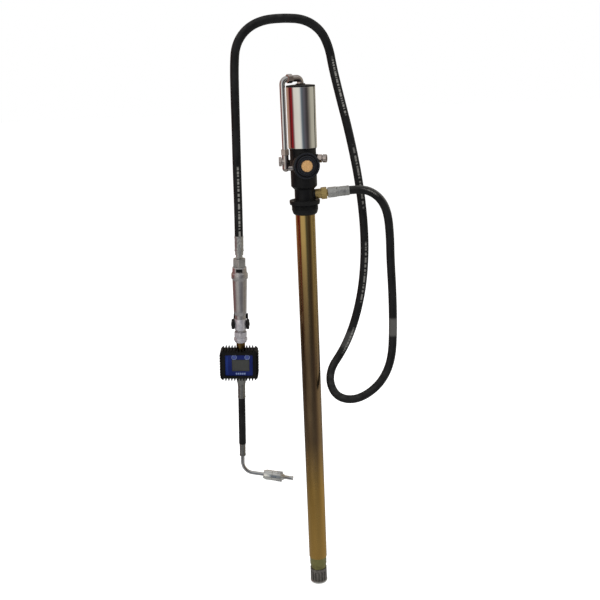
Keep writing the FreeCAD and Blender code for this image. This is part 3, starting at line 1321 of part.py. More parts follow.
GUN_NODES = {
    "gun_ferrule": gun_ferrule(),
    "gun_inlet_nut": gun_inlet_nut(),
    "gun_body": gun_body(),
    "trigger": trigger(),
    "trigger_pins": trigger_pins(),
    "trigger_guard": trigger_guard(),
    "valve_stem": valve_stem(),
    "gun_union_nut": gun_union_nut(),
    "gun_outlet_nipple": gun_outlet_nipple(),
    "meter_body": meter_body(),
    "meter_boot": meter_boot(),
    "meter_rear_cover": meter_rear_cover(),
    "meter_gear_right": meter_gear(1),
    "meter_gear_left": meter_gear(-1),
    "meter_panel": meter_panel(),
    "meter_display": meter_display(),
    "meter_button_left": meter_button(BUTTON_LEFT_X),
    "meter_button_right": meter_button(BUTTON_RIGHT_X),
    "spout_adaptor": spout_adaptor(),
    "spout_ferrules": spout_ferrules(),
    "spout_hose": spout_hose(),
    "spout_pipe": spout_pipe(),
    "nozzle_body": nozzle_body(),
    "nozzle_sleeve": nozzle_sleeve(),
}

os.makedirs("parts", exist_ok=True)
for name, shape in PUMP_NODES.items():
    shape.exportStep("parts/" + name + ".step")
for name, shape in GUN_NODES.items():
    hang(shape).exportStep("parts/" + name + ".step")
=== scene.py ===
import json
import math
import bmesh
import bpy
from mathutils import Matrix, Vector


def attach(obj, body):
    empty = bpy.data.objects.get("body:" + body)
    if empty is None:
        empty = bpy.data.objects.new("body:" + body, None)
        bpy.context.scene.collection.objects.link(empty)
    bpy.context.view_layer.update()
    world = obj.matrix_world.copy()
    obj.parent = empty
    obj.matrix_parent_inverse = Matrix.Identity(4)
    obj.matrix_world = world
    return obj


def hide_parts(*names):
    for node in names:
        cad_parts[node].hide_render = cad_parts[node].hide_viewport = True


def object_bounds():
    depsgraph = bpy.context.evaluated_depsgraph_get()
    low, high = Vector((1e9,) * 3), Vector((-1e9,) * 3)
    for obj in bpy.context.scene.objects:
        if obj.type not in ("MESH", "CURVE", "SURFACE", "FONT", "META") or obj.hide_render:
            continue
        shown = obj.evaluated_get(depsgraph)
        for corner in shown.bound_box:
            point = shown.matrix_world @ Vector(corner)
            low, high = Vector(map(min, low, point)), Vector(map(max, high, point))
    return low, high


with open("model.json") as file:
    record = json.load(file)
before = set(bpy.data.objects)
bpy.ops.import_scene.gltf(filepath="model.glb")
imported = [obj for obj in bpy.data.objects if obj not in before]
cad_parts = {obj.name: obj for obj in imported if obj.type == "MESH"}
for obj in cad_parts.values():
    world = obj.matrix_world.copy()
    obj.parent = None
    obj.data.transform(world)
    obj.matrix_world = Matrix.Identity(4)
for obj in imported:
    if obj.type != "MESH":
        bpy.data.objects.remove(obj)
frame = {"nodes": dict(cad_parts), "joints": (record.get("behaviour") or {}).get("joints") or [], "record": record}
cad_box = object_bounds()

MM = 0.001
TURN = 2 * math.pi
MERGE = 0.001 * MM                  # points closer than this are one point
FLAT_ANGLE = math.radians(0.5)      # faces that meet at less than this are one flat face
NODES = frame["nodes"]
JOINTS = {joint["name"]: joint for joint in frame["joints"]}
SLOT_OF = {part["node"]: part["material_slot"] for part in frame["record"]["subparts"]}
BODY_OF = {part: body for body, parts in frame["record"]["behaviour"]["bodies"].items() for part in parts}

# ---- view, floor and light ----
CAMERA_AT = (-0.01958, -1.88537, 0.31217)
CAMERA_DOWN = 15.841      # degrees below the level
CAMERA_ROLL = -2.321
CAMERA_LENS = 51.0
CAMERA_SENSOR = 36.0      # its width in mm
CAMERA_REACH = 60.0       # how far it sees, in metres
FLOOR_SIZE = 40.0
FLOOR_GAP = 0.5 * MM      # under the strainer's end
FLOOR_GLOW = 0.52


def place_camera():
    down = math.radians(CAMERA_DOWN)
    roll = math.radians(CAMERA_ROLL)
    forward = Vector((0, math.cos(down), -math.sin(down)))
    level_up = Vector((0, math.sin(down), math.cos(down)))
    right = math.cos(roll) * Vector((1, 0, 0)) + math.sin(roll) * level_up
    up = math.cos(roll) * level_up - math.sin(roll) * Vector((1, 0, 0))
    data = bpy.data.cameras.new("camera")
    data.lens = CAMERA_LENS
    data.sensor_width = CAMERA_SENSOR
    data.clip_end = CAMERA_REACH
    camera = bpy.data.objects.new("camera", data)
    camera.matrix_world = Matrix.Translation(CAMERA_AT) @ Matrix((right, up, -forward)).transposed().to_4x4()
    bpy.context.scene.collection.objects.link(camera)
    bpy.context.scene.camera = camera


def feed(tree, made, inputs):
    """Gives each input of a shader node its value, or the socket that feeds it."""
    for key, value in inputs.items():
        if isinstance(value, bpy.types.NodeSocket):
            tree.links.new(value, made.inputs[key])
        else:
            made.inputs[key].default_value = value
    return made


def node(tree, kind, inputs=None, **settings):
    """A new shader node with its settings and inputs."""
    made = tree.nodes.new(kind)
    for key, value in settings.items():
        setattr(made, key, value)
    return feed(tree, made, inputs or {})


def sums(tree, operation, first, second=0.0):
    """The result of one operation on two values."""
    return node(tree, "ShaderNodeMath", {0: first, 1: second}, operation=operation).outputs[0]


def spread(tree, value, low, high, to_low=0.0, to_high=1.0):
    """Value from low to high, spread from to_low to to_high and held at both ends."""
    made = node(tree, "ShaderNodeMapRange", {"Value": value, "From Min": low, "From Max": high,
                                             "To Min": to_low, "To Max": to_high})
    return made.outputs["Result"]


def mix_colours(tree, factor, low, high):
    """The colour between low and high; each is a colour, or a socket with one."""
    mixed = node(tree, "ShaderNodeMix", {0: factor, 6: low, 7: high}, data_type="RGBA")
    return mixed.outputs[2]


def ramp(tree, value, stops):
    """A colour ramp over value, from (position, colour) stops."""
    made = node(tree, "ShaderNodeValToRGB", {"Fac": value})
    elements = made.color_ramp.elements
    while len(elements) < len(stops):
        elements.new(0.5)
    for element, (position, colour) in zip(elements, stops):
        element.position = position
        element.color = (*colour, 1.0)
    return made.outputs["Color"]


# The studio's soft boxes and dark curtains, as they stand round the pump: degrees round
# from the camera's side towards +X, and the colour that polished metal shows there.
STUDIO_ROUND = [
    (-180, (0.34, 0.26, 0.20)), (-140, (0.46, 0.30, 0.22)), (-118, (0.34, 0.18, 0.14)),
    (-108, (0.24, 0.025, 0.027)), (-98, (0.22, 0.010, 0.012)), (-80, (0.22, 0.012, 0.016)),
    (-72, (0.18, 0.06, 0.07)), (-66, (0.32, 0.25, 0.24)), (-58, (0.72, 0.68, 0.62)),
    (-20, (0.76, 0.75, 0.70)), (-9, (0.62, 0.62, 0.60)), (0, (0.20, 0.23, 0.27)),
    (8, (0.10, 0.12, 0.14)), (24, (0.11, 0.10, 0.12)), (36, (0.06, 0.055, 0.06)),
    (46, (0.05, 0.045, 0.045)), (56, (0.14, 0.12, 0.11)), (68, (0.26, 0.25, 0.21)),
    (82, (0.44, 0.42, 0.35)), (104, (0.46, 0.44, 0.37)), (136, (0.42, 0.40, 0.33)),
    (180, (0.34, 0.26, 0.20)),
]
# What polished metal shows a little lower, between the soft boxes' feet and the floor.
LOWER_ROUND = [
    (-180, (0.15, 0.14, 0.12)), (-90, (0.07, 0.075, 0.08)), (-62, (0.08, 0.08, 0.075)),
    (-46, (0.15, 0.145, 0.14)), (-18, (0.13, 0.13, 0.14)), (-6, (0.065, 0.07, 0.085)),
    (30, (0.06, 0.055, 0.07)), (48, (0.13, 0.115, 0.12)), (66, (0.32, 0.29, 0.24)),
    (84, (0.52, 0.50, 0.42)), (120, (0.46, 0.44, 0.40)), (180, (0.15, 0.14, 0.12)),
]
FLOOR_SEEN = (0.37, 0.37, 0.36, 1.0)
ROOM_LIGHT = (0.62, 0.62, 0.62, 1.0)
CEILING = (0.52, 0.52, 0.51, 1.0)
WHITE = (1.0, 1.0, 1.0, 1.0)
# heights on a ball of radius 1 between which one part of the studio gives way to the next
TO_LOWER = (-0.20, -0.31)
TO_FLOOR = (-0.42, -0.50)
TO_CEILING = (0.3, 0.8)


def round_ramp(tree, angle, stops):
    """The colour at an angle round the pump, from stops in degrees."""
    shares = [((degrees + 180) / 360, colour) for degrees, colour in stops]
    return ramp(tree, spread(tree, angle, -math.pi, math.pi), shares)


def light_studio():
    """Soft boxes and curtains that only polished metal shows, before a white wall."""
    world = bpy.data.worlds.new("studio")
    bpy.context.scene.world = world
    world.use_nodes = True
    tree = world.node_tree
    tree.nodes.clear()
    towards = node(tree, "ShaderNodeTexCoord").outputs["Generated"]
    parts = node(tree, "ShaderNodeSeparateXYZ", {"Vector": towards}).outputs
    angle = sums(tree, "ARCTAN2", parts["X"], sums(tree, "MULTIPLY", parts["Y"], -1.0))
    seen = mix_colours(tree, spread(tree, parts["Z"], *TO_LOWER), round_ramp(tree, angle, STUDIO_ROUND),
                       round_ramp(tree, angle, LOWER_ROUND))
    seen = mix_colours(tree, spread(tree, parts["Z"], *TO_FLOOR), seen, FLOOR_SEEN)
    seen = mix_colours(tree, spread(tree, parts["Z"], *TO_CEILING), seen, CEILING)
    path = node(tree, "ShaderNodeLightPath")
    soft = mix_colours(tree, path.outputs["Is Glossy Ray"], ROOM_LIGHT, seen)
    shown = mix_colours(tree, path.outputs["Is Camera Ray"], soft, WHITE)
    background = node(tree, "ShaderNodeBackground", {"Color": shown, "Strength": 1.0})
    node(tree, "ShaderNodeOutputWorld", {"Surface": background.outputs["Background"]})


def soft_box(name, stand, towards, size, power):
    """A lamp at stand that shines towards a point; size in metres, power in watts."""
    data = bpy.data.lights.new(name, "AREA")
    data.shape = "RECTANGLE"
    data.size, data.size_y = size
    data.energy = power
    light = bpy.data.objects.new(name, data)
    light.location = stand
    light.rotation_euler = (Vector(towards) - Vector(stand)).to_track_quat("-Z", "Y").to_euler()
    bpy.context.scene.collection.objects.link(light)
    light.visible_glossy = False


def lay_floor():
    """A pale floor that is lit evenly enough to run into the white wall."""
    bpy.ops.object.select_all(action="DESELECT")
    bpy.ops.mesh.primitive_plane_add(size=FLOOR_SIZE, location=(0, 0, cad_box[0][2] - FLOOR_GAP))
    floor = bpy.context.object
    floor.name = "studio_floor"
    floor.visible_glossy = False
    material = bpy.data.materials.new("pale_floor")
    material.use_nodes = True
    shader = material.node_tree.nodes["Principled BSDF"]
    shader.inputs["Base Color"].default_value = (0.86, 0.86, 0.86, 1.0)
    shader.inputs["Roughness"].default_value = 1.0
    shader.inputs["Specular IOR Level"].default_value = 0.0
    shader.inputs["Emission Color"].default_value = WHITE
    shader.inputs["Emission Strength"].default_value = FLOOR_GLOW
    floor.data.materials.append(material)


place_camera()
light_studio()
lay_floor()
soft_box("key_light", (-1.6, -2.4, 2.2), (0, 0, -0.2), (1.8, 1.8), 45)
soft_box("fill_light", (2.2, -1.8, 1.2), (0, 0, -0.3), (1.6, 2.0), 16)
soft_box("back_light", (0.5, 2.4, 1.8), (0, 0, -0.1), (2.0, 1.2), 25)
bpy.context.scene.view_settings.view_transform = "Standard"


# ---- effects that several finishes share ----
def new_group(name, inputs, outputs):
    """An empty shader node group; returns it with its input and output nodes."""
    group = bpy.data.node_groups.new(name, "ShaderNodeTree")
    for label, kind, value in inputs:
        socket = group.interface.new_socket(label, in_out="INPUT", socket_type="NodeSocket" + kind)
        if value is not None:
            socket.default_value = value
    for label, kind in outputs:
        group.interface.new_socket(label, in_out="OUTPUT", socket_type="NodeSocket" + kind)
    return group, node(group, "NodeGroupInput").outputs, node(group, "NodeGroupOutput")


def make_uneven_finish():
    """Cloudy change of colour and roughness over a surface."""
    group, given, result = new_group(
        "uneven_finish",
        [("Vector", "Vector", None), ("Scale", "Float", 20.0), ("Dark", "Color", (0.1, 0.1, 0.1, 1.0)),
         ("Light", "Color", (0.2, 0.2, 0.2, 1.0)), ("Smooth", "Float", 0.3), ("Rough", "Float", 0.5)],
        [("Color", "Color"), ("Roughness", "Float")])
    clouds = node(group, "ShaderNodeTexNoise", {"Vector": given["Vector"], "Scale": given["Scale"],
                                                "Detail": 5.0, "Roughness": 0.6}).outputs["Fac"]
    share = spread(group, clouds, 0.3, 0.7)
    feed(group, result, {"Color": mix_colours(group, share, given["Dark"], given["Light"]),
                         "Roughness": spread(group, share, 0.0, 1.0, given["Smooth"], given["Rough"])})
    return group


def make_fine_grain():
    """Height of a fine grain, with a few larger dents."""
    group, given, result = new_group("fine_grain", [("Vector", "Vector", None), ("Scale", "Float", 800.0)],
                                     [("Height", "Float")])
    fine = node(group, "ShaderNodeTexNoise", {"Vector": given["Vector"], "Detail": 2.0,
                                              "Scale": given["Scale"]})
    coarse = node(group, "ShaderNodeTexNoise", {"Vector": given["Vector"], "Detail": 1.0,
                                                "Scale": sums(group, "MULTIPLY", given["Scale"], 0.12)})
    feed(group, result, {"Height": sums(group, "ADD", fine.outputs["Fac"], coarse.outputs["Fac"])})
    return group


def make_dust_and_sheen_film():
    """Where dusting and painted highlight lie: lighter grey on what faces up, in patches."""
    group, given, result = new_group("dust_and_sheen_film", [("Vector", "Vector", None), ("Amount", "Float", 0.3)],
                                     [("Mask", "Float")])
    normal = node(group, "ShaderNodeNewGeometry").outputs["Normal"]
    facing = node(group, "ShaderNodeSeparateXYZ", {"Vector": normal})
    patches = node(group, "ShaderNodeTexNoise", {"Vector": given["Vector"], "Scale": 90.0, "Detail": 4.0})
    # painted highlight with dusting: a patchy grey mask on what faces up
    dust_and_sheen_mask = sums(group, "MULTIPLY", spread(group, facing.outputs["Z"], 0.1, 1.0),
                 spread(group, patches.outputs["Fac"], 0.35, 0.7))
    feed(group, result, {"Mask": sums(group, "MULTIPLY", dust_and_sheen_mask, given["Amount"])})
    return group


UNEVEN_FINISH = make_uneven_finish()
FINE_GRAIN = make_fine_grain()
DUST_AND_SHEEN_FILM = make_dust_and_sheen_film()
# grey of the dusting and of the painted highlight on what faces up
DUST_AND_SHEEN = (0.16, 0.155, 0.145, 1.0)


def place_group(tree, group, inputs):
    """Sets a shared group in a material with its own values."""
    return feed(tree, node(tree, "ShaderNodeGroup", node_tree=group), inputs).outputs


def raise_grain(tree, shader, height, depth):
    """Bump of a depth in mm from a height."""
    bump = node(tree, "ShaderNodeBump", {"Height": height, "Distance": depth * MM})
    tree.links.new(bump.outputs["Normal"], shader.inputs["Normal"])


def new_finish(name, metallic, sockets):
    """A material with its shader; sockets are the shader's constants, with _ in place of spaces."""
    material = bpy.data.materials.new(name)
    material.use_nodes = True
    tree = material.node_tree
    shader = tree.nodes["Principled BSDF"]
    shader.inputs["Metallic"].default_value = metallic
    for key, value in sockets.items():
        shader.inputs[key.replace("_", " ")].default_value = value
    return material, tree, shader


def finish(name, dark, light, metallic, rough, cloud=20.0, grain=800.0, depth=0.02, stretch=(1, 1, 1),
           dust=0.0, **sockets):
    """A finish between two colours and two roughnesses, with a grain depth mm deep, and a grey dusting with
    painted highlight on what faces up.
    """
    material, tree, shader = new_finish(name, metallic, sockets)
    spot = node(tree, "ShaderNodeTexCoord").outputs["Object"]
    mapped = node(tree, "ShaderNodeMapping", {"Vector": spot, "Scale": stretch}).outputs["Vector"]
    uneven = place_group(tree, UNEVEN_FINISH, {"Vector": mapped, "Scale": cloud, "Dark": (*dark, 1.0),
                                               "Light": (*light, 1.0), "Smooth": rough[0], "Rough": rough[1]})
    colour = uneven["Color"]
    if dust:
        # a grey dusting with painted highlight, on what faces up
        dust_and_sheen_mask = place_group(tree, DUST_AND_SHEEN_FILM, {"Vector": spot, "Amount": dust})["Mask"]
        colour = mix_colours(tree, dust_and_sheen_mask, colour, DUST_AND_SHEEN)
    feed(tree, shader, {"Base Color": colour, "Roughness": uneven["Roughness"]})
    if depth:
        height = place_group(tree, FINE_GRAIN, {"Vector": mapped, "Scale": grain})["Height"]
        raise_grain(tree, shader, height, depth)
    return material


def black(name, rough, gloss=0.22, **settings):
    """A near-black finish with little gloss."""
    return finish(name, (0.003, 0.003, 0.0035), (0.0065, 0.0065, 0.007), 0.0, rough,
                  Specular_IOR_Level=gloss, **settings)


# heights in metres between which the suction tube's zinc changes
TO_DULL = (-0.08, -0.36)
TO_WARM = (-0.57, -0.70)
DRAWN = (1, 1, 0.12)      # its marks run along the tube


def suction_tube_finish():
    """Yellow zinc, bright near the flange, greyer half way down and warm towards the foot."""
    material, tree, shader = new_finish("yellow_zinc_tube", 1.0, {})
    spot = node(tree, "ShaderNodeTexCoord").outputs["Object"]
    height = node(tree, "ShaderNodeSeparateXYZ", {"Vector": spot}).outputs["Z"]
    drawn = node(tree, "ShaderNodeMapping", {"Vector": spot, "Scale": DRAWN}).outputs["Vector"]

    def zone(dark, light, rough):
        return place_group(tree, UNEVEN_FINISH, {
            "Vector": drawn, "Scale": 55.0, "Dark": (*dark, 1.0), "Light": (*light, 1.0),
            "Smooth": rough[0], "Rough": rough[1]})

    fresh = zone((0.48, 0.33, 0.12), (0.60, 0.41, 0.15), (0.11, 0.18))
    dull = zone((0.27, 0.175, 0.09), (0.35, 0.24, 0.135), (0.20, 0.30))
    warm = zone((0.54, 0.32, 0.085), (0.70, 0.43, 0.125), (0.22, 0.32))
    down = spread(tree, height, *TO_DULL)
    foot = spread(tree, height, *TO_WARM)
    upper = mix_colours(tree, down, fresh["Color"], dull["Color"])
    feed(tree, shader, {"Base Color": mix_colours(tree, foot, upper, warm["Color"]),
                        "Roughness": spread(tree, down, 0.0, 1.0, fresh["Roughness"], dull["Roughness"])})
    grain = place_group(tree, FINE_GRAIN, {"Vector": drawn, "Scale": 500.0})["Height"]
    raise_grain(tree, shader, grain, 0.02)
    return material


def both(tree, first, second):
    """One mask where another is, or a mask at a strength."""
    return sums(tree, "MULTIPLY", first, second)


def either(tree, first, second):
    """The stronger of two masks."""
    return sums(tree, "MAXIMUM", first, second)


def within(tree, value, low, high, edge=0.006):
    """1 where a value is between low and high, with a soft edge."""
    above = spread(tree, value, low - edge, low + edge)
    below = spread(tree, value, high + edge, high - edge)
    return both(tree, above, below)


DASHES_PER_METRE = 640.0
GROUPS_PER_METRE = 30.0
PRINT_STRENGTH = 0.5
PRINT = (0.46, 0.45, 0.41, 1.0)


def noise_along(tree, length, per_metre):
    """A value that changes so many times a metre along the hose."""
    return node(tree, "ShaderNodeTexNoise", {"W": both(tree, length, per_metre), "Scale": 1.0, "Detail": 0.0},
                noise_dimensions="1D").outputs["Fac"]


def line_of_dashes(tree, length, normal, spot):
    """Dashes of uneven length in a narrow band along the front of the hose's straighter runs."""
    fine = noise_along(tree, length, DASHES_PER_METRE)
    groups = noise_along(tree, length, GROUPS_PER_METRE)
    dashes = both(tree, spread(tree, fine, 0.42, 0.50), spread(tree, groups, 0.36, 0.40))
    band = both(tree, spread(tree, both(tree, normal["Y"], -1.0), 0.86, 0.90),
                spread(tree, normal["X"], 0.02, 0.05))
    left = both(tree, spread(tree, spot["X"], -0.10, -0.11), spread(tree, spot["Z"], 0.145, 0.135))
    high = both(tree, within(tree, spot["Z"], 0.19, 0.31), 0.8)
    low = both(tree, within(tree, spot["Z"], -0.36, 0.12), 0.6)
    right = both(tree, within(tree, spot["X"], 0.02, 0.160), either(tree, high, low))
    shown = either(tree, both(tree, left, 0.8), right)
    return both(tree, both(tree, dashes, band), both(tree, shown, PRINT_STRENGTH))


def painted_sheen_patches(tree, normal, spot):
    """Painted highlight: grey on the outside of the bend after the outlet, where the hose faces up and towards +X,
    and two pale painted highlight bands lower down.
    """
    outside = sums(tree, "ADD", both(tree, normal["X"], 0.62), both(tree, normal["Z"], 0.78))
    bend = both(tree, within(tree, spot["X"], 0.10, 0.30), spread(tree, spot["Z"], -0.20, -0.02))
    bend = both(tree, bend, spread(tree, outside, 0.55, 0.95, 0.0, 0.75))
    outer_band = both(tree, spread(tree, spot["X"], 0.16, 0.17),
                      within(tree, spot["Z"], -0.308, -0.268, 0.003))
    inner_band = both(tree, within(tree, spot["X"], 0.04, 0.16),
                      within(tree, spot["Z"], -0.350, -0.312, 0.004))
    bands = either(tree, both(tree, outer_band, 0.42), both(tree, inner_band, 0.24))
    return either(tree, bend, bands)


CLOTH_MARKS = (2400.0, 46.0, 1.0)      # marks of the wrapping cloth along and round the hose
HOSE_GRAIN_DEPTH = 0.25


def hose_finish(name, marked):
    """Wrapped rubber cover with a grey dusting and painted highlight on what faces up; marked adds what the long
    hose has: cloth marks, painted highlight patches and printed dashes.
    """
    material, tree, shader = new_finish(name, 0.0, {"Specular_IOR_Level": 0.20})
    texture_at = node(tree, "ShaderNodeTexCoord").outputs
    spot = node(tree, "ShaderNodeSeparateXYZ", {"Vector": texture_at["Object"]}).outputs
    facing = node(tree, "ShaderNodeNewGeometry").outputs["Normal"]
    normal = node(tree, "ShaderNodeSeparateXYZ", {"Vector": facing}).outputs
    cover = place_group(tree, UNEVEN_FINISH, {
        "Vector": texture_at["Object"], "Scale": 30.0, "Dark": (0.004, 0.004, 0.0045, 1.0),
        "Light": (0.010, 0.010, 0.0105, 1.0), "Smooth": 0.42, "Rough": 0.58})
    # grey dusting with painted highlight on what faces up
    hose_dust_and_sheen = place_group(tree, DUST_AND_SHEEN_FILM, {"Vector": texture_at["Object"], "Amount": 0.22})["Mask"]
    if marked:
        # painted highlight on the bend's outside and on two bands
        hose_dust_and_sheen = either(tree, hose_dust_and_sheen, painted_sheen_patches(tree, normal, spot))
        cloth_at = node(tree, "ShaderNodeMapping", {"Vector": texture_at["UV"], "Scale": CLOTH_MARKS})
        height = node(tree, "ShaderNodeTexNoise", {"Vector": cloth_at.outputs["Vector"], "Scale": 1.0,
                                                   "Detail": 2.0}).outputs["Fac"]
    else:
        height = place_group(tree, FINE_GRAIN, {"Vector": texture_at["Object"], "Scale": 700.0})["Height"]
    colour = mix_colours(tree, hose_dust_and_sheen, cover["Color"], DUST_AND_SHEEN)
    if marked:
        length = node(tree, "ShaderNodeSeparateXYZ", {"Vector": texture_at["UV"]}).outputs["X"]
        colour = mix_colours(tree, line_of_dashes(tree, length, normal, spot), colour, PRINT)
    feed(tree, shader, {"Base Color": colour, "Roughness": cover["Roughness"]})
    raise_grain(tree, shader, height, HOSE_GRAIN_DEPTH)
    return material


CHROME = finish("polished_chrome", (0.80, 0.79, 0.76), (0.88, 0.87, 0.84), 1.0, (0.03, 0.07), grain=28,
                depth=0.7, stretch=(1, 1, 0.35))
TUBE_CHROME = finish("bright_tube", (0.66, 0.65, 0.66), (0.78, 0.77, 0.77), 1.0, (0.08, 0.14), depth=0.03)
# the black finishes get a grey dusting with painted highlight on what faces up
BLACK_PAINT = black("satin_black_paint", (0.30, 0.44), depth=0.06, dust=0.10)
GLOSS_BLACK = finish("gloss_black", (0.006, 0.007, 0.010), (0.011, 0.012, 0.015), 0.0, (0.14, 0.24),
                     depth=0.03, Specular_IOR_Level=0.7)
BLACK_PLASTIC = black("black_moulding", (0.36, 0.5), depth=0.04, dust=0.08)
SEAL_RUBBER = black("seal_rubber", (0.5, 0.6))
BOOT_RUBBER = black("boot_rubber", (0.5, 0.66), gloss=0.12, depth=0.1, dust=0.04)
YELLOW_ZINC = suction_tube_finish()
BRASS = finish("turned_brass", (0.38, 0.27, 0.105), (0.56, 0.42, 0.17), 0.85, (0.32, 0.44), depth=0.05,
               cloud=90)
OLD_BRASS = finish("dark_brass", (0.20, 0.11, 0.03), (0.34, 0.22, 0.07), 1.0, (0.26, 0.38), depth=0.04,
                   cloud=90)
GREY_ZINC = finish("grey_zinc", (0.38, 0.38, 0.37), (0.56, 0.56, 0.54), 0.85, (0.34, 0.46), depth=0.06,
                   cloud=60)
DULL_ZINC = finish("dull_zinc", (0.28, 0.28, 0.27), (0.42, 0.42, 0.40), 1.0, (0.28, 0.40), depth=0.05,
                   cloud=60)
STEEL = finish("ground_steel", (0.5, 0.5, 0.5), (0.62, 0.62, 0.62), 1.0, (0.18, 0.28), depth=0.02)
NICKEL = finish("bright_nickel", (0.50, 0.43, 0.41), (0.68, 0.61, 0.58), 1.0, (0.10, 0.2), depth=0.05,
                cloud=70)
POLISHED = finish("polished_nickel", (0.74, 0.73, 0.72), (0.86, 0.86, 0.84), 1.0, (0.08, 0.16), depth=0.03)
HUB_NICKEL = finish("soft_nickel", (0.56, 0.55, 0.58), (0.74, 0.72, 0.77), 0.75, (0.32, 0.38), depth=0.0)
GUN_ALLOY = finish("cast_alloy", (0.58, 0.56, 0.57), (0.72, 0.70, 0.71), 1.0, (0.34, 0.46), grain=900,
                   depth=0.12)
BRONZE = finish("sintered_bronze", (0.50, 0.27, 0.09), (0.95, 0.60, 0.28), 0.55, (0.5, 0.7), cloud=600,
                grain=900, depth=0.4)
STRAINER_GREY = finish("strainer_grey", (0.07, 0.066, 0.058), (0.17, 0.155, 0.14), 0.5, (0.3, 0.5), cloud=160,
                       depth=0.15)
WOVEN_WIRE = finish("woven_wire", (0.05, 0.05, 0.045), (0.20, 0.19, 0.17), 1.0, (0.4, 0.5), cloud=900,
                    grain=900, depth=0.3)
OLIVE_ZINC = finish("olive_zinc", (0.30, 0.28, 0.11), (0.42, 0.40, 0.17), 1.0, (0.3, 0.45), depth=0.06,
                    cloud=80)
BLUE_PANEL = finish("blue_panel", (0.002, 0.007, 0.068), (0.0035, 0.011, 0.095), 0.0, (0.3, 0.4), depth=0.0,
                    Specular_IOR_Level=0.18)
BLUE_STRIP = finish("blue_strip", (0.003, 0.013, 0.095), (0.005, 0.020, 0.135), 0.0, (0.3, 0.4), depth=0.0,
                    Specular_IOR_Level=0.18)
PALE_PRINT = finish("pale_print", (0.09, 0.13, 0.27), (0.17, 0.22, 0.38), 0.0, (0.4, 0.5), depth=0.0,
                    cloud=500)
DISPLAY_GREY = finish("display_grey", (0.036, 0.037, 0.036), (0.044, 0.045, 0.042), 0.0, (0.10, 0.16),
                      depth=0.0, Specular_IOR_Level=0.25)
DISPLAY_DARK = finish("display_digit", (0.026, 0.027, 0.026), (0.032, 0.033, 0.031), 0.0, (0.12, 0.2),
                      depth=0.0, Specular_IOR_Level=0.25)
KEY_BLUE = finish("blue_key", (0.02, 0.035, 0.16), (0.035, 0.055, 0.22), 0.0, (0.35, 0.45), depth=0.0)
HOSE_RUBBER = hose_finish("hose_cover", True)
PLAIN_HOSE = hose_finish("spout_hose_cover", False)

BY_SLOT = {
    "chrome": CHROME, "black_casting": BLACK_PAINT, "black_plastic": BLACK_PLASTIC,
    "yellow_zinc": YELLOW_ZINC, "brass": BRASS, "zinc": GREY_ZINC, "steel": STEEL,
    "bronze": BRONZE, "seal_rubber": SEAL_RUBBER,
    "hose_rubber": HOSE_RUBBER, "boot_rubber": BOOT_RUBBER, "gun_alloy": GUN_ALLOY, "nickel": NICKEL,
    "strainer_grey": STRAINER_GREY, "olive_zinc": OLIVE_ZINC, "panel_blue": BLUE_PANEL,
    "display_grey": DISPLAY_GREY, "button_blue": KEY_BLUE, "meter_alloy": GUN_ALLOY,
}
# solids whose finish differs from the rest of their slot
OWN_FINISH = {
    "trigger_pins": BLACK_PLASTIC, "nozzle_body": POLISHED, "nozzle_sleeve": POLISHED,
    "gun_union_nut": HUB_NICKEL, "gun_outlet_nipple": OLD_BRASS, "exhaust_silencer": BRONZE,
    "transfer_tube": TUBE_CHROME, "spout_pipe": TUBE_CHROME, "spout_adaptor": DULL_ZINC,
    "spout_ferrules": DULL_ZINC,
}


def finish_of(solid):
    return OWN_FINISH.get(solid, BY_SLOT[SLOT_OF[solid]])


def dress_nodes():
    """Each solid gets its finish."""
    for solid, piece in NODES.items():
        for slot in piece.material_slots:
            slot.material = finish_of(solid)


dress_nodes()


# ---- working on a piece ----
def only(piece):
    """Leaves piece as the only one selected, and the active one."""
    bpy.ops.object.select_all(action="DESELECT")
    piece.select_set(True)
    bpy.context.view_layer.objects.active = piece


def edit(piece, mode="FACE"):
    """Opens a piece in edit mode with nothing selected."""
    only(piece)
    bpy.ops.object.mode_set(mode="EDIT")
    bpy.ops.mesh.select_mode(type=mode)
    bpy.ops.mesh.select_all(action="DESELECT")


def done():
    bpy.ops.object.mode_set(mode="OBJECT")


def pick(piece, wanted):
    """In edit mode, selects the faces that are wanted by their centre and normal."""
    mesh = bmesh.from_edit_mesh(piece.data)
    for face in mesh.faces:
        face.select_set(bool(wanted(face.calc_center_median(), face.normal)))
    bmesh.update_edit_mesh(piece.data)


def modify(piece, kind, **settings):
    """Adds a modifier and applies it."""
    only(piece)
    modifier = piece.modifiers.new(kind.lower(), kind)
    for key, value in settings.items():
        setattr(modifier, key, value)
    bpy.ops.object.modifier_apply(modifier=modifier.name)


def smooth(piece, degrees=32):
    """Shades a piece smooth, with a hard edge where faces meet at more than an angle."""
    only(piece)
    bpy.ops.object.shade_smooth_by_angle(angle=math.radians(degrees))


def soften(piece, width, degrees=32, segments=2):
    """Rounds every edge sharper than an angle by a width in mm."""
    smooth(piece, degrees)
    modify(piece, "BEVEL", width=width * MM, segments=segments, limit_method="ANGLE",
           angle_limit=math.radians(degrees), use_clamp_overlap=False, harden_normals=True)


def place(piece, matrix):
    """Moves the mesh itself, so that the object stays at the origin."""
    piece.data.transform(matrix)
    piece.data.update()


def copy_of(solid, name, whole_faces=True):
    """A copy of a solid with faces that hold together, and each flat face in one if whole_faces is set."""
    piece = bpy.data.objects.new(name, NODES[solid].data.copy())
    piece.data.name = name
    bpy.context.scene.collection.objects.link(piece)
    edit(piece)
    bpy.ops.mesh.select_all(action="SELECT")
    bpy.ops.mesh.remove_doubles(threshold=MERGE)
    if whole_faces:
        bpy.ops.mesh.dissolve_limited(angle_limit=FLAT_ANGLE)
    done()
    return piece


def settle(piece, body, material=None, replaces=None):
    """Gives a piece its finish, its body and the solid that it stands for."""
    if material:
        piece.data.materials.clear()
        piece.data.materials.append(material)
    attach(piece, body)
    if replaces:
        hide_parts(*replaces)


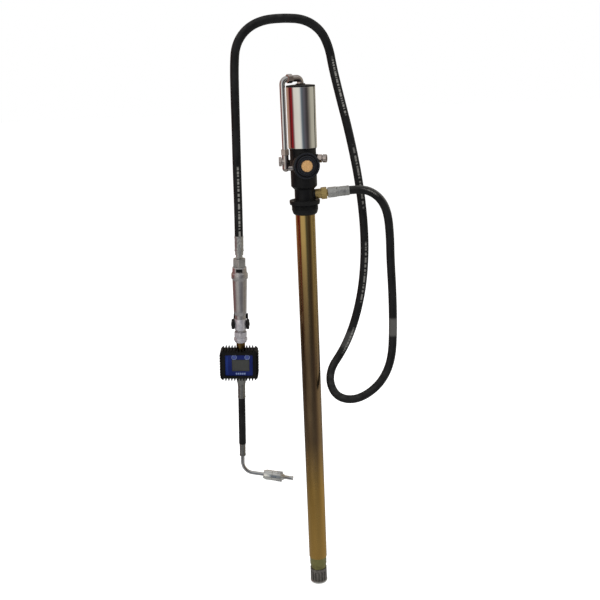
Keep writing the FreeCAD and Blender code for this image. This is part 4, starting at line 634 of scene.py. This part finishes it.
def dressed(solid, name, width, degrees=32, whole_faces=True):
    """A solid with its edges rounded by a width in mm, shown in its place."""
    piece = copy_of(solid, name, whole_faces)
    if width:
        soften(piece, width, degrees)
    else:
        smooth(piece, degrees)
    settle(piece, BODY_OF[solid], finish_of(solid), [solid])
    return piece


ROUNDED = [
    ("motor_cylinder", "chrome_cylinder", 0.5), ("pump_head", "head_casting", 0.7),
    ("motor_top_cap", "cylinder_cap", 0.6), ("spool_plugs", "valve_plugs", 0.3),
    ("air_inlet_nipple", "air_socket", 0.4), ("transfer_nuts", "line_nuts", 0.4),
    ("lower_fitting", "line_fitting", 0.3), ("outlet_nipple", "outlet_union", 0.5),
    ("hose_nut", "swivel_nut", 0.5), ("gun_inlet_nut", "gun_swivel_nut", 0.5),
    ("gun_union_nut", "meter_union", 0.5), ("meter_rear_cover", "rear_cover", 0.5),
    ("spout_adaptor", "spout_socket", 0.4), ("trigger_guard", "guard_strip", 0.8),
    ("meter_boot", "rubber_boot", 0.7), ("nozzle_body", "nozzle_shell", 0.5),
    ("nozzle_sleeve", "nozzle_tip", 0.4), ("meter_panel", "panel_plate", 0.5),
    ("meter_button_left", "key_left", 0.3), ("meter_button_right", "key_right", 0.3),
    ("gun_outlet_nipple", "meter_nipple", 0.4), ("foot_valve_body", "foot_valve", 0.5),
    ("suction_strainer", "strainer_cage", 0.3), ("trigger", "trigger_lever_grip", 0.6),
]
# solids with holes in flat faces, whose faces stay as they are
LEFT_IN_PARTS = {"meter_boot", "spool_plugs", "gun_inlet_nut", "gun_union_nut"}


def round_solids():
    for solid, name, width in ROUNDED:
        dressed(solid, name, width, whole_faces=solid not in LEFT_IN_PARTS)


round_solids()
air_line = dressed("transfer_tube", "air_line", 0)
air_line.visible_glossy = False      # the chrome beside it doesn't mirror it

# ---- where the outlet and the gun are ----
OUTLET_AT = Vector((0, 0, 19.5)) * MM
OUTLET_TILT = math.radians(4)
OUTLET_WAY = Vector((math.cos(OUTLET_TILT), 0, math.sin(OUTLET_TILT)))
GUN_AT = Vector(JOINTS["gun_swivel"]["pos_m"])
GUN_AXIS = Vector(JOINTS["gun_swivel"]["axis"]).normalized()
GUN = Matrix.Translation(GUN_AT) @ Matrix.Rotation(math.atan2(GUN_AXIS.x, GUN_AXIS.z), 4, "Y")
TO_FRONT = Matrix.Rotation(math.radians(90), 4, "X")      # turns Z to the front, -Y
TO_BACK = Matrix.Rotation(math.radians(-90), 4, "X")


def at(x, y, z):
    """A place in mm."""
    return Matrix.Translation(Vector((x, y, z)) * MM)


def along(way):
    """Turns Z to a direction."""
    return Vector(way).to_track_quat("Z", "Y").to_matrix().to_4x4()


def turned(name, profile, steps=64):
    """A body of revolution round Z from (radius, height) points in mm."""
    bpy.ops.object.select_all(action="DESELECT")
    bpy.ops.mesh.primitive_plane_add(size=MM)
    piece = bpy.context.object
    piece.name = piece.data.name = name
    edit(piece, "VERT")
    bpy.ops.mesh.select_all(action="SELECT")
    bpy.ops.mesh.merge(type="CENTER")
    last = Vector((profile[0][0], 0, profile[0][1])) * MM
    bpy.ops.transform.translate(value=last)
    for radius, height in profile[1:]:
        point = Vector((radius, 0, height)) * MM
        bpy.ops.mesh.extrude_vertices_move(TRANSFORM_OT_translate={"value": point - last})
        last = point
    bpy.ops.mesh.select_all(action="SELECT")
    bpy.ops.mesh.spin(steps=steps, angle=TURN, center=(0, 0, 0), axis=(0, 0, 1))
    bpy.ops.mesh.select_all(action="SELECT")
    bpy.ops.mesh.remove_doubles(threshold=MERGE)
    bpy.ops.mesh.normals_make_consistent(inside=False)
    done()
    smooth(piece)
    return piece


def block(name, size, edge=0.0, segments=2):
    """A block with its centre at the origin and its edges rounded, in mm."""
    bpy.ops.object.select_all(action="DESELECT")
    bpy.ops.mesh.primitive_cube_add(size=1)
    piece = bpy.context.object
    piece.name = piece.data.name = name
    place(piece, Matrix.Diagonal((*(Vector(size) * MM), 1)))
    if edge:
        soften(piece, edge, segments=segments)
    return piece


def joined(name, pieces):
    """Several pieces made into one."""
    only(pieces[0])
    for piece in pieces:
        piece.select_set(True)
    bpy.ops.object.join()
    pieces[0].name = pieces[0].data.name = name
    return pieces[0]


def repeated(piece, matrices):
    """One piece and its copies, each set at its own place and joined."""
    pieces = [piece]
    for matrix in matrices[1:]:
        twin = bpy.data.objects.new(piece.name, piece.data.copy())
        bpy.context.scene.collection.objects.link(twin)
        place(twin, matrix)
        pieces.append(twin)
    place(piece, matrices[0])
    return joined(piece.name, pieces)


def ring_of(count, radius, start=0.0):
    """Places round Z at a radius in mm, each with its X outward."""
    turns = [Matrix.Rotation(start + TURN * index / count, 4, "Z") for index in range(count)]
    return [turn @ at(radius, 0, 0) for turn in turns]


def cut(piece, cutter):
    """Takes cutter's body out of piece."""
    modify(piece, "BOOLEAN", operation="DIFFERENCE", object=cutter, solver="EXACT")
    bpy.data.objects.remove(cutter)


# ---- exhaust: grooved cap and raised ring on the flange ----
EXHAUST_YAW = math.radians(11)
EXHAUST = at(0, 0, 88) @ along((math.sin(EXHAUST_YAW), -math.cos(EXHAUST_YAW), 0))
cap = turned("exhaust_cap_rings", [
    (12.6, 36), (22, 36), (22, 38.6), (21.3, 39.5), (19.9, 39.5), (19.5, 38.7), (18.3, 38.7), (17.9, 39.5),
    (17.5, 40.7), (17, 41.1), (14.8, 41.1), (14.4, 40.3), (13.2, 40.3), (12.6, 39.7), (12.6, 36)])
place(cap, EXHAUST)
settle(cap, "root", GLOSS_BLACK, ["exhaust_cap"])
ring = turned("exhaust_flange_ring", [
    (24.6, 35.8), (28.3, 35.8), (28.3, 36.6), (27.8, 37), (25.1, 37), (24.6, 36.6), (24.6, 35.8)])
place(ring, EXHAUST)
settle(ring, "root", GLOSS_BLACK)

# ---- bung adaptor with its thread ----
THREAD_PITCH = 2.309
THREAD_TURNS = 6
THREAD_LOW = -14.3
THREAD_ROOT = 0.962       # the root's radius as a share of the thread's
ROOT_R = 28.3
RIDGE = [(1.2, 0, 0.8), (0.2, 0, 0.3), (-0.2, 0, 0.3), (-1.2, 0, 0.8), (0, 0, -2.2)]


def on_thread(centre, normal):
    """The side faces of the adaptor's thread."""
    return -14 * MM < centre.z < 0 and abs(normal.z) < 0.1 and centre.xy.length > 29 * MM


adaptor = copy_of("bung_adaptor", "bung_flange", whole_faces=False)
edit(adaptor)
pick(adaptor, on_thread)
bpy.ops.transform.resize(value=(THREAD_ROOT, THREAD_ROOT, 1), center_override=(0, 0, 0))
done()
soften(adaptor, 0.6)
settle(adaptor, "root", BLACK_PLASTIC, ["bung_adaptor"])


def make_thread():
    """One ridge that is screwed round the adaptor."""
    bpy.ops.object.select_all(action="DESELECT")
    bpy.ops.mesh.primitive_plane_add(size=MM)
    ridge = bpy.context.object
    ridge.name = ridge.data.name = "bung_thread"
    edit(ridge, "VERT")
    bpy.ops.mesh.select_all(action="SELECT")
    bpy.ops.mesh.merge(type="CENTER")
    bpy.ops.transform.translate(value=Vector((ROOT_R, 0, THREAD_LOW)) * MM)
    for step in RIDGE:
        bpy.ops.mesh.extrude_vertices_move(TRANSFORM_OT_translate={"value": Vector(step) * MM})
    bpy.ops.mesh.select_all(action="SELECT")
    bpy.ops.mesh.remove_doubles(threshold=MERGE)
    done()
    modify(ridge, "SCREW", angle=TURN, screw_offset=THREAD_PITCH * MM, iterations=THREAD_TURNS, steps=72,
           axis="Z", use_merge_vertices=True, merge_threshold=MERGE)
    edit(ridge)
    bpy.ops.mesh.select_all(action="SELECT")
    bpy.ops.mesh.fill_holes(sides=0)
    bpy.ops.mesh.normals_make_consistent(inside=False)
    done()
    smooth(ridge, 25)
    return ridge


settle(make_thread(), "root", BLACK_PLASTIC)

seal = turned("neck_seal", [(22.1, 7.6), (24.8, 7.6), (24.8, 8.8), (24, 9.8), (22.1, 10.2), (22.1, 7.6)])
settle(seal, "root", SEAL_RUBBER)

# ---- crimped ferrules ----
JAWS = 8
JAW_DEEP = 6.0
JAW_GAP = 0.05            # keeps the jaws from touching
CRIMP_ANGLE = 24


def crimped(solid, name, matrix, marks, depth=0.85):
    """Ferrules with pressed flats; each mark has a radius and two heights on their axis."""
    ferrule = copy_of(solid, name)
    for radius, low, high in marks:
        flat = 2 * (radius - depth) * math.tan(TURN / (2 * JAWS)) - JAW_GAP
        jaw = block("press", (JAW_DEEP, flat, high - low))
        tool = repeated(jaw, ring_of(JAWS, radius - depth + JAW_DEEP / 2))
        place(tool, matrix @ at(0, 0, (low + high) / 2))
        cut(ferrule, tool)
    smooth(ferrule, CRIMP_ANGLE)
    settle(ferrule, BODY_OF[solid], finish_of(solid), [solid])


OUTLET = Matrix.Translation(OUTLET_AT) @ along(OUTLET_WAY)
crimped("hose_ferrule", "hose_ferrule_crimped", OUTLET, [(11.3, 74.5, 97.5)])
crimped("gun_ferrule", "gun_ferrule_crimped", GUN, [(10.6, -32, -3)])
crimped("spout_ferrules", "spout_ferrules_crimped", GUN, [(9.3, -388.5, -359), (7.6, -539, -514)])

# ---- foot: woven sleeve behind the strainer's slots ----
sleeve = turned("strainer_sleeve", [(18.2, -957), (18.6, -957), (18.6, -926), (18.2, -926), (18.2, -957)])
settle(sleeve, "root", WOVEN_WIRE)
rim = turned("strainer_rim", [(20.4, -961.6), (20.7, -961.4), (20.9, -960.6), (20.9, -959.2), (20.4, -958.6),
                              (20.4, -961.6)])
settle(rim, "root", POLISHED)

# ---- control gun ----
VALVE_Z = -208
COLLAR_Z = -78
COLLAR_FLAT_X = 20.9      # centre of the block that cuts a flat
HUB_BACK_Y = 3 * MM
PLUG_Y = -13.2
CATCH_Y = -13.2
gun = copy_of("gun_body", "gun_casting", whole_faces=False)
window = block("window", (15, 10, 9), 1.5)
place(window, GUN @ at(0.5, -19, COLLAR_Z))
cut(gun, window)
for side in (-1, 1):
    flat = block("flat", (10, 30, 16))
    place(flat, GUN @ at(side * COLLAR_FLAT_X, 0, COLLAR_Z + 1.5))
    cut(gun, flat)
soften(gun, 0.6)
settle(gun, "control_gun", GUN_ALLOY, ["gun_body"])
catch = block("swivel_catch", (13.6, 3, 7.6), 0.8)
place(catch, GUN @ at(0.5, CATCH_Y, COLLAR_Z))
settle(catch, "control_gun", BLACK_PLASTIC)
# bright barrel over the front of the valve, open behind for the stem pin
hub = turned("valve_hub", [
    (12.5, VALVE_Z - 13.2), (13.5, VALVE_Z - 12.4), (13.95, VALVE_Z - 10), (14.05, VALVE_Z - 6),
    (14.05, VALVE_Z + 6), (13.95, VALVE_Z + 10), (13.5, VALVE_Z + 12.4), (12.5, VALVE_Z + 13.2),
    (12, VALVE_Z + 12), (12, VALVE_Z - 12), (12.5, VALVE_Z - 13.2)])
edit(hub)
bpy.ops.mesh.select_all(action="SELECT")
bpy.ops.mesh.bisect(plane_co=(0, HUB_BACK_Y, 0), plane_no=(0, 1, 0), use_fill=True, clear_outer=True)
done()
plug = turned("valve_plug", [(0, 0), (5, 0), (5, 1.6), (4.6, 2), (1.8, 2), (1.8, 1), (0, 1)])
place(plug, at(0, PLUG_Y, VALVE_Z) @ TO_FRONT)
hub = joined("valve_hub", [hub, plug])
smooth(hub)
place(hub, GUN)
settle(hub, "control_gun", HUB_NICKEL)


def line_up(low, high, count):
    """Evenly spaced places from low to high, in mm."""
    low = Vector(low)
    return [at(*low.lerp(Vector(high), index / (count - 1))) for index in range(count)]


# ridges across the lever's back, where the fingers lie
grip = repeated(block("lever_grip", (17, 2.4, 2.6), 0.9), line_up((0, 33, -172), (0, 44, -120), 9))
place(grip, GUN)
settle(grip, "trigger_lever", BLACK_PLASTIC)

# ---- meter ----
METER = GUN @ at(-4, 0, -303)
PANEL_Y = -20
DISPLAY_X = 4.0
GLASS_BACK = 0.4          # its centre behind the panel's face
GLASS_SUNK = 0.5          # its middle behind its rim
KEY_XS = (-10.9, 19.3)
KEY_Z = 19.9
LABEL_XS = (-6.0, 13.2)
LABEL_Z = -20.4
STRIP_X = -27.8
COVER_Y = 17.4


def faces_front(centre, normal):
    return normal.y < -0.99


def behind_rim(centre, normal):
    return faces_front(centre, normal) and centre.y > (PANEL_Y - 0.3) * MM


glass = block("display_glass", (41, 2, 28.5), 0.4)
place(glass, at(DISPLAY_X, PANEL_Y + GLASS_BACK, 0))
edit(glass)
pick(glass, faces_front)
bpy.ops.mesh.inset(thickness=0.9 * MM)
bpy.ops.mesh.extrude_region_move(TRANSFORM_OT_translate={"value": (0, GLASS_SUNK * MM, 0)})
done()
settle(glass, "control_gun", DISPLAY_DARK, ["meter_display"])
edit(glass)
pick(glass, behind_rim)
glass.data.materials.append(DISPLAY_GREY)
glass.active_material_index = 1
bpy.ops.object.material_slot_assign()
done()
place(glass, METER)


BAR_HIGH = 0.12
BAR_FLATS = 0.87          # a six-sided bar of width 1 over its corners, over its flats


def segment(name, length, width):
    """One bar of a digit, pointed at both ends."""
    bpy.ops.object.select_all(action="DESELECT")
    bpy.ops.mesh.primitive_cylinder_add(vertices=6, radius=0.5, depth=1, rotation=(math.radians(90), 0, 0))
    bar = bpy.context.object
    bpy.ops.object.transform_apply(location=False, rotation=True, scale=False)
    bar.name = bar.data.name = name
    edit(bar, "VERT")
    mesh = bmesh.from_edit_mesh(bar.data)
    for corner in mesh.verts:
        corner.select_set(abs(corner.co.z) > 0.1)
    bmesh.update_edit_mesh(bar.data)
    bpy.ops.transform.resize(value=(1.6, 1, 1), center_override=(0, 0, 0))
    done()
    place(bar, Matrix.Diagonal(Vector((length, BAR_HIGH, width / BAR_FLATS, 1)) * MM).to_4x4())
    return bar


DIGIT_W = 5.6
DIGIT_H = 11.0
DIGIT_XS = (-13.5, -4.5, 4.5, 13.5)
UPRIGHT = Matrix.Rotation(math.radians(90), 4, "Y")
level_bars = [at(0, 0, DIGIT_H / 2), at(0, 0, -DIGIT_H / 2)]
side_bars = [at(x, 0, z) @ UPRIGHT for x in (-DIGIT_W / 2, DIGIT_W / 2) for z in (-DIGIT_H / 4, DIGIT_H / 4)]
digits = [at(x, 0, 1.5) for x in DIGIT_XS]
readout = repeated(repeated(segment("display_digits", DIGIT_W, 0.9), level_bars + side_bars), digits)
place(readout, METER @ at(DISPLAY_X, PANEL_Y + 0.1, 0))
settle(readout, "control_gun", DISPLAY_DARK)

rings = turned("key_rings", [(4.95, 0), (6, 0), (6, 0.3), (5.8, 0.45), (5.1, 0.45), (4.95, 0.3), (4.95, 0)])
rings = repeated(rings, [at(x, PANEL_Y, KEY_Z) @ TO_FRONT for x in KEY_XS])
place(rings, METER)
settle(rings, "control_gun", PALE_PRINT)
label_at = line_up((LABEL_XS[0], PANEL_Y, LABEL_Z), (LABEL_XS[1], PANEL_Y, LABEL_Z), 5)
label = repeated(block("panel_bars", (3.4, 0.3, 4.4), 0.1), label_at)
place(label, METER)
settle(label, "control_gun", PALE_PRINT)
strip = block("panel_strip", (5.6, 0.4, 45), 0.15)
place(strip, METER @ at(STRIP_X, PANEL_Y, 0))
settle(strip, "control_gun", BLUE_STRIP)

screws = turned("cover_screws", [(0, 0), (2.8, 0), (2.8, 1.2), (2.4, 1.7), (1.5, 1.7), (1.5, 0.7), (0, 0.7)],
                steps=24)
screws = repeated(screws, [at(x, COVER_Y, z) @ TO_BACK for x in (-31, 0, 31) for z in (-24, 24)])
place(screws, METER)
settle(screws, "control_gun", STEEL)
plate = block("cover_plate", (36, 1, 20), 0.3)
place(plate, METER @ at(0, COVER_Y + 0.1, 0))
settle(plate, "control_gun", DULL_ZINC)

# ---- spout hose, wrapped with a shallow rib ----
RIBS = 26
RIB_R = 8.5
CORE_R = 8.15
SPOUT_TOP = -391.5
SPOUT_FOOT = -510.5


def ribbed_profile():
    step = (SPOUT_TOP - SPOUT_FOOT) / RIBS
    profile = [(0, SPOUT_TOP)]
    for index in range(RIBS):
        low = SPOUT_TOP - index * step
        profile += [(CORE_R, low), (RIB_R, low - 0.3 * step), (RIB_R, low - 0.7 * step)]
    return profile + [(CORE_R, SPOUT_FOOT), (0, SPOUT_FOOT)]


spout = turned("spout_hose_cover", ribbed_profile(), 40)
place(spout, GUN)
settle(spout, "control_gun", PLAIN_HOSE, ["spout_hose"])

# ---- nozzle: ribs round the sleeve that turns ----
TWIST = JOINTS["nozzle_twist"]
SLEEVE_RIBS = 30
knurl = repeated(block("nozzle_ribs", (1.2, 1.3, 14), 0.4), ring_of(SLEEVE_RIBS, 12.1))
place(knurl, Matrix.Translation(Vector(TWIST["pos_m"])) @ along(TWIST["axis"]) @ at(0, 0, 10))
settle(knurl, "nozzle_turn", POLISHED)

# ---- delivery hose ----
HOSE_R = 9.5
HOSE_OUT = 100.0      # where the pump's ferrule ends
HOSE_LEAD = 126.0
HOSE_TAIL = 51.0
HOSE_ROUTE = [
    (152, -1, 20), (173, -2, 0), (185, -4, -30), (189, -6, -80), (189, -10, -133), (192, -16, -208),
    (192, -24, -294), (187, -34, -364), (165, -43, -412), (127, -52, -443), (89, -50, -456),
    (56, -32, -451), (42, -5, -426), (49, 18, -397), (71, 30, -370), (93, 32, -329),
    (114, 33, -269), (130, 33, -191), (136, 33, -92), (127, 33, 26), (107, 32, 139),
    (86, 31, 228), (72, 29, 290), (65, 27, 334), (48, 24, 370), (14, 21, 393),
    (-32, 18, 397), (-77, 14, 394), (-112, 10, 377), (-135, 6, 345), (-140, 4, 304),
    (-142, 1, 249), (-144, 0, 174), (-147, 0, 83),
]


def make_hose():
    """The delivery hose on one smooth line from the pump's ferrule to the gun's."""
    start = OUTLET_AT + OUTLET_WAY * HOSE_OUT * MM
    points = [start, OUTLET_AT + OUTLET_WAY * HOSE_LEAD * MM]
    points += [Vector(point) * MM for point in HOSE_ROUTE]
    points += [GUN_AT + GUN_AXIS * HOSE_TAIL * MM, GUN_AT]
    curve = bpy.data.curves.new("delivery_hose", "CURVE")
    curve.dimensions = "3D"
    curve.bevel_depth = HOSE_R * MM
    curve.bevel_resolution = 8
    curve.resolution_u = 10
    spline = curve.splines.new("NURBS")
    spline.points.add(len(points) - 1)
    for point, place_at in zip(spline.points, points):
        point.co = (*place_at, 1.0)
    spline.order_u = 3
    spline.use_endpoint_u = True
    hose = bpy.data.objects.new("delivery_hose", curve)
    bpy.context.scene.collection.objects.link(hose)
    curve.materials.append(HOSE_RUBBER)
    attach(hose, "root")
    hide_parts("hose")


make_hose()
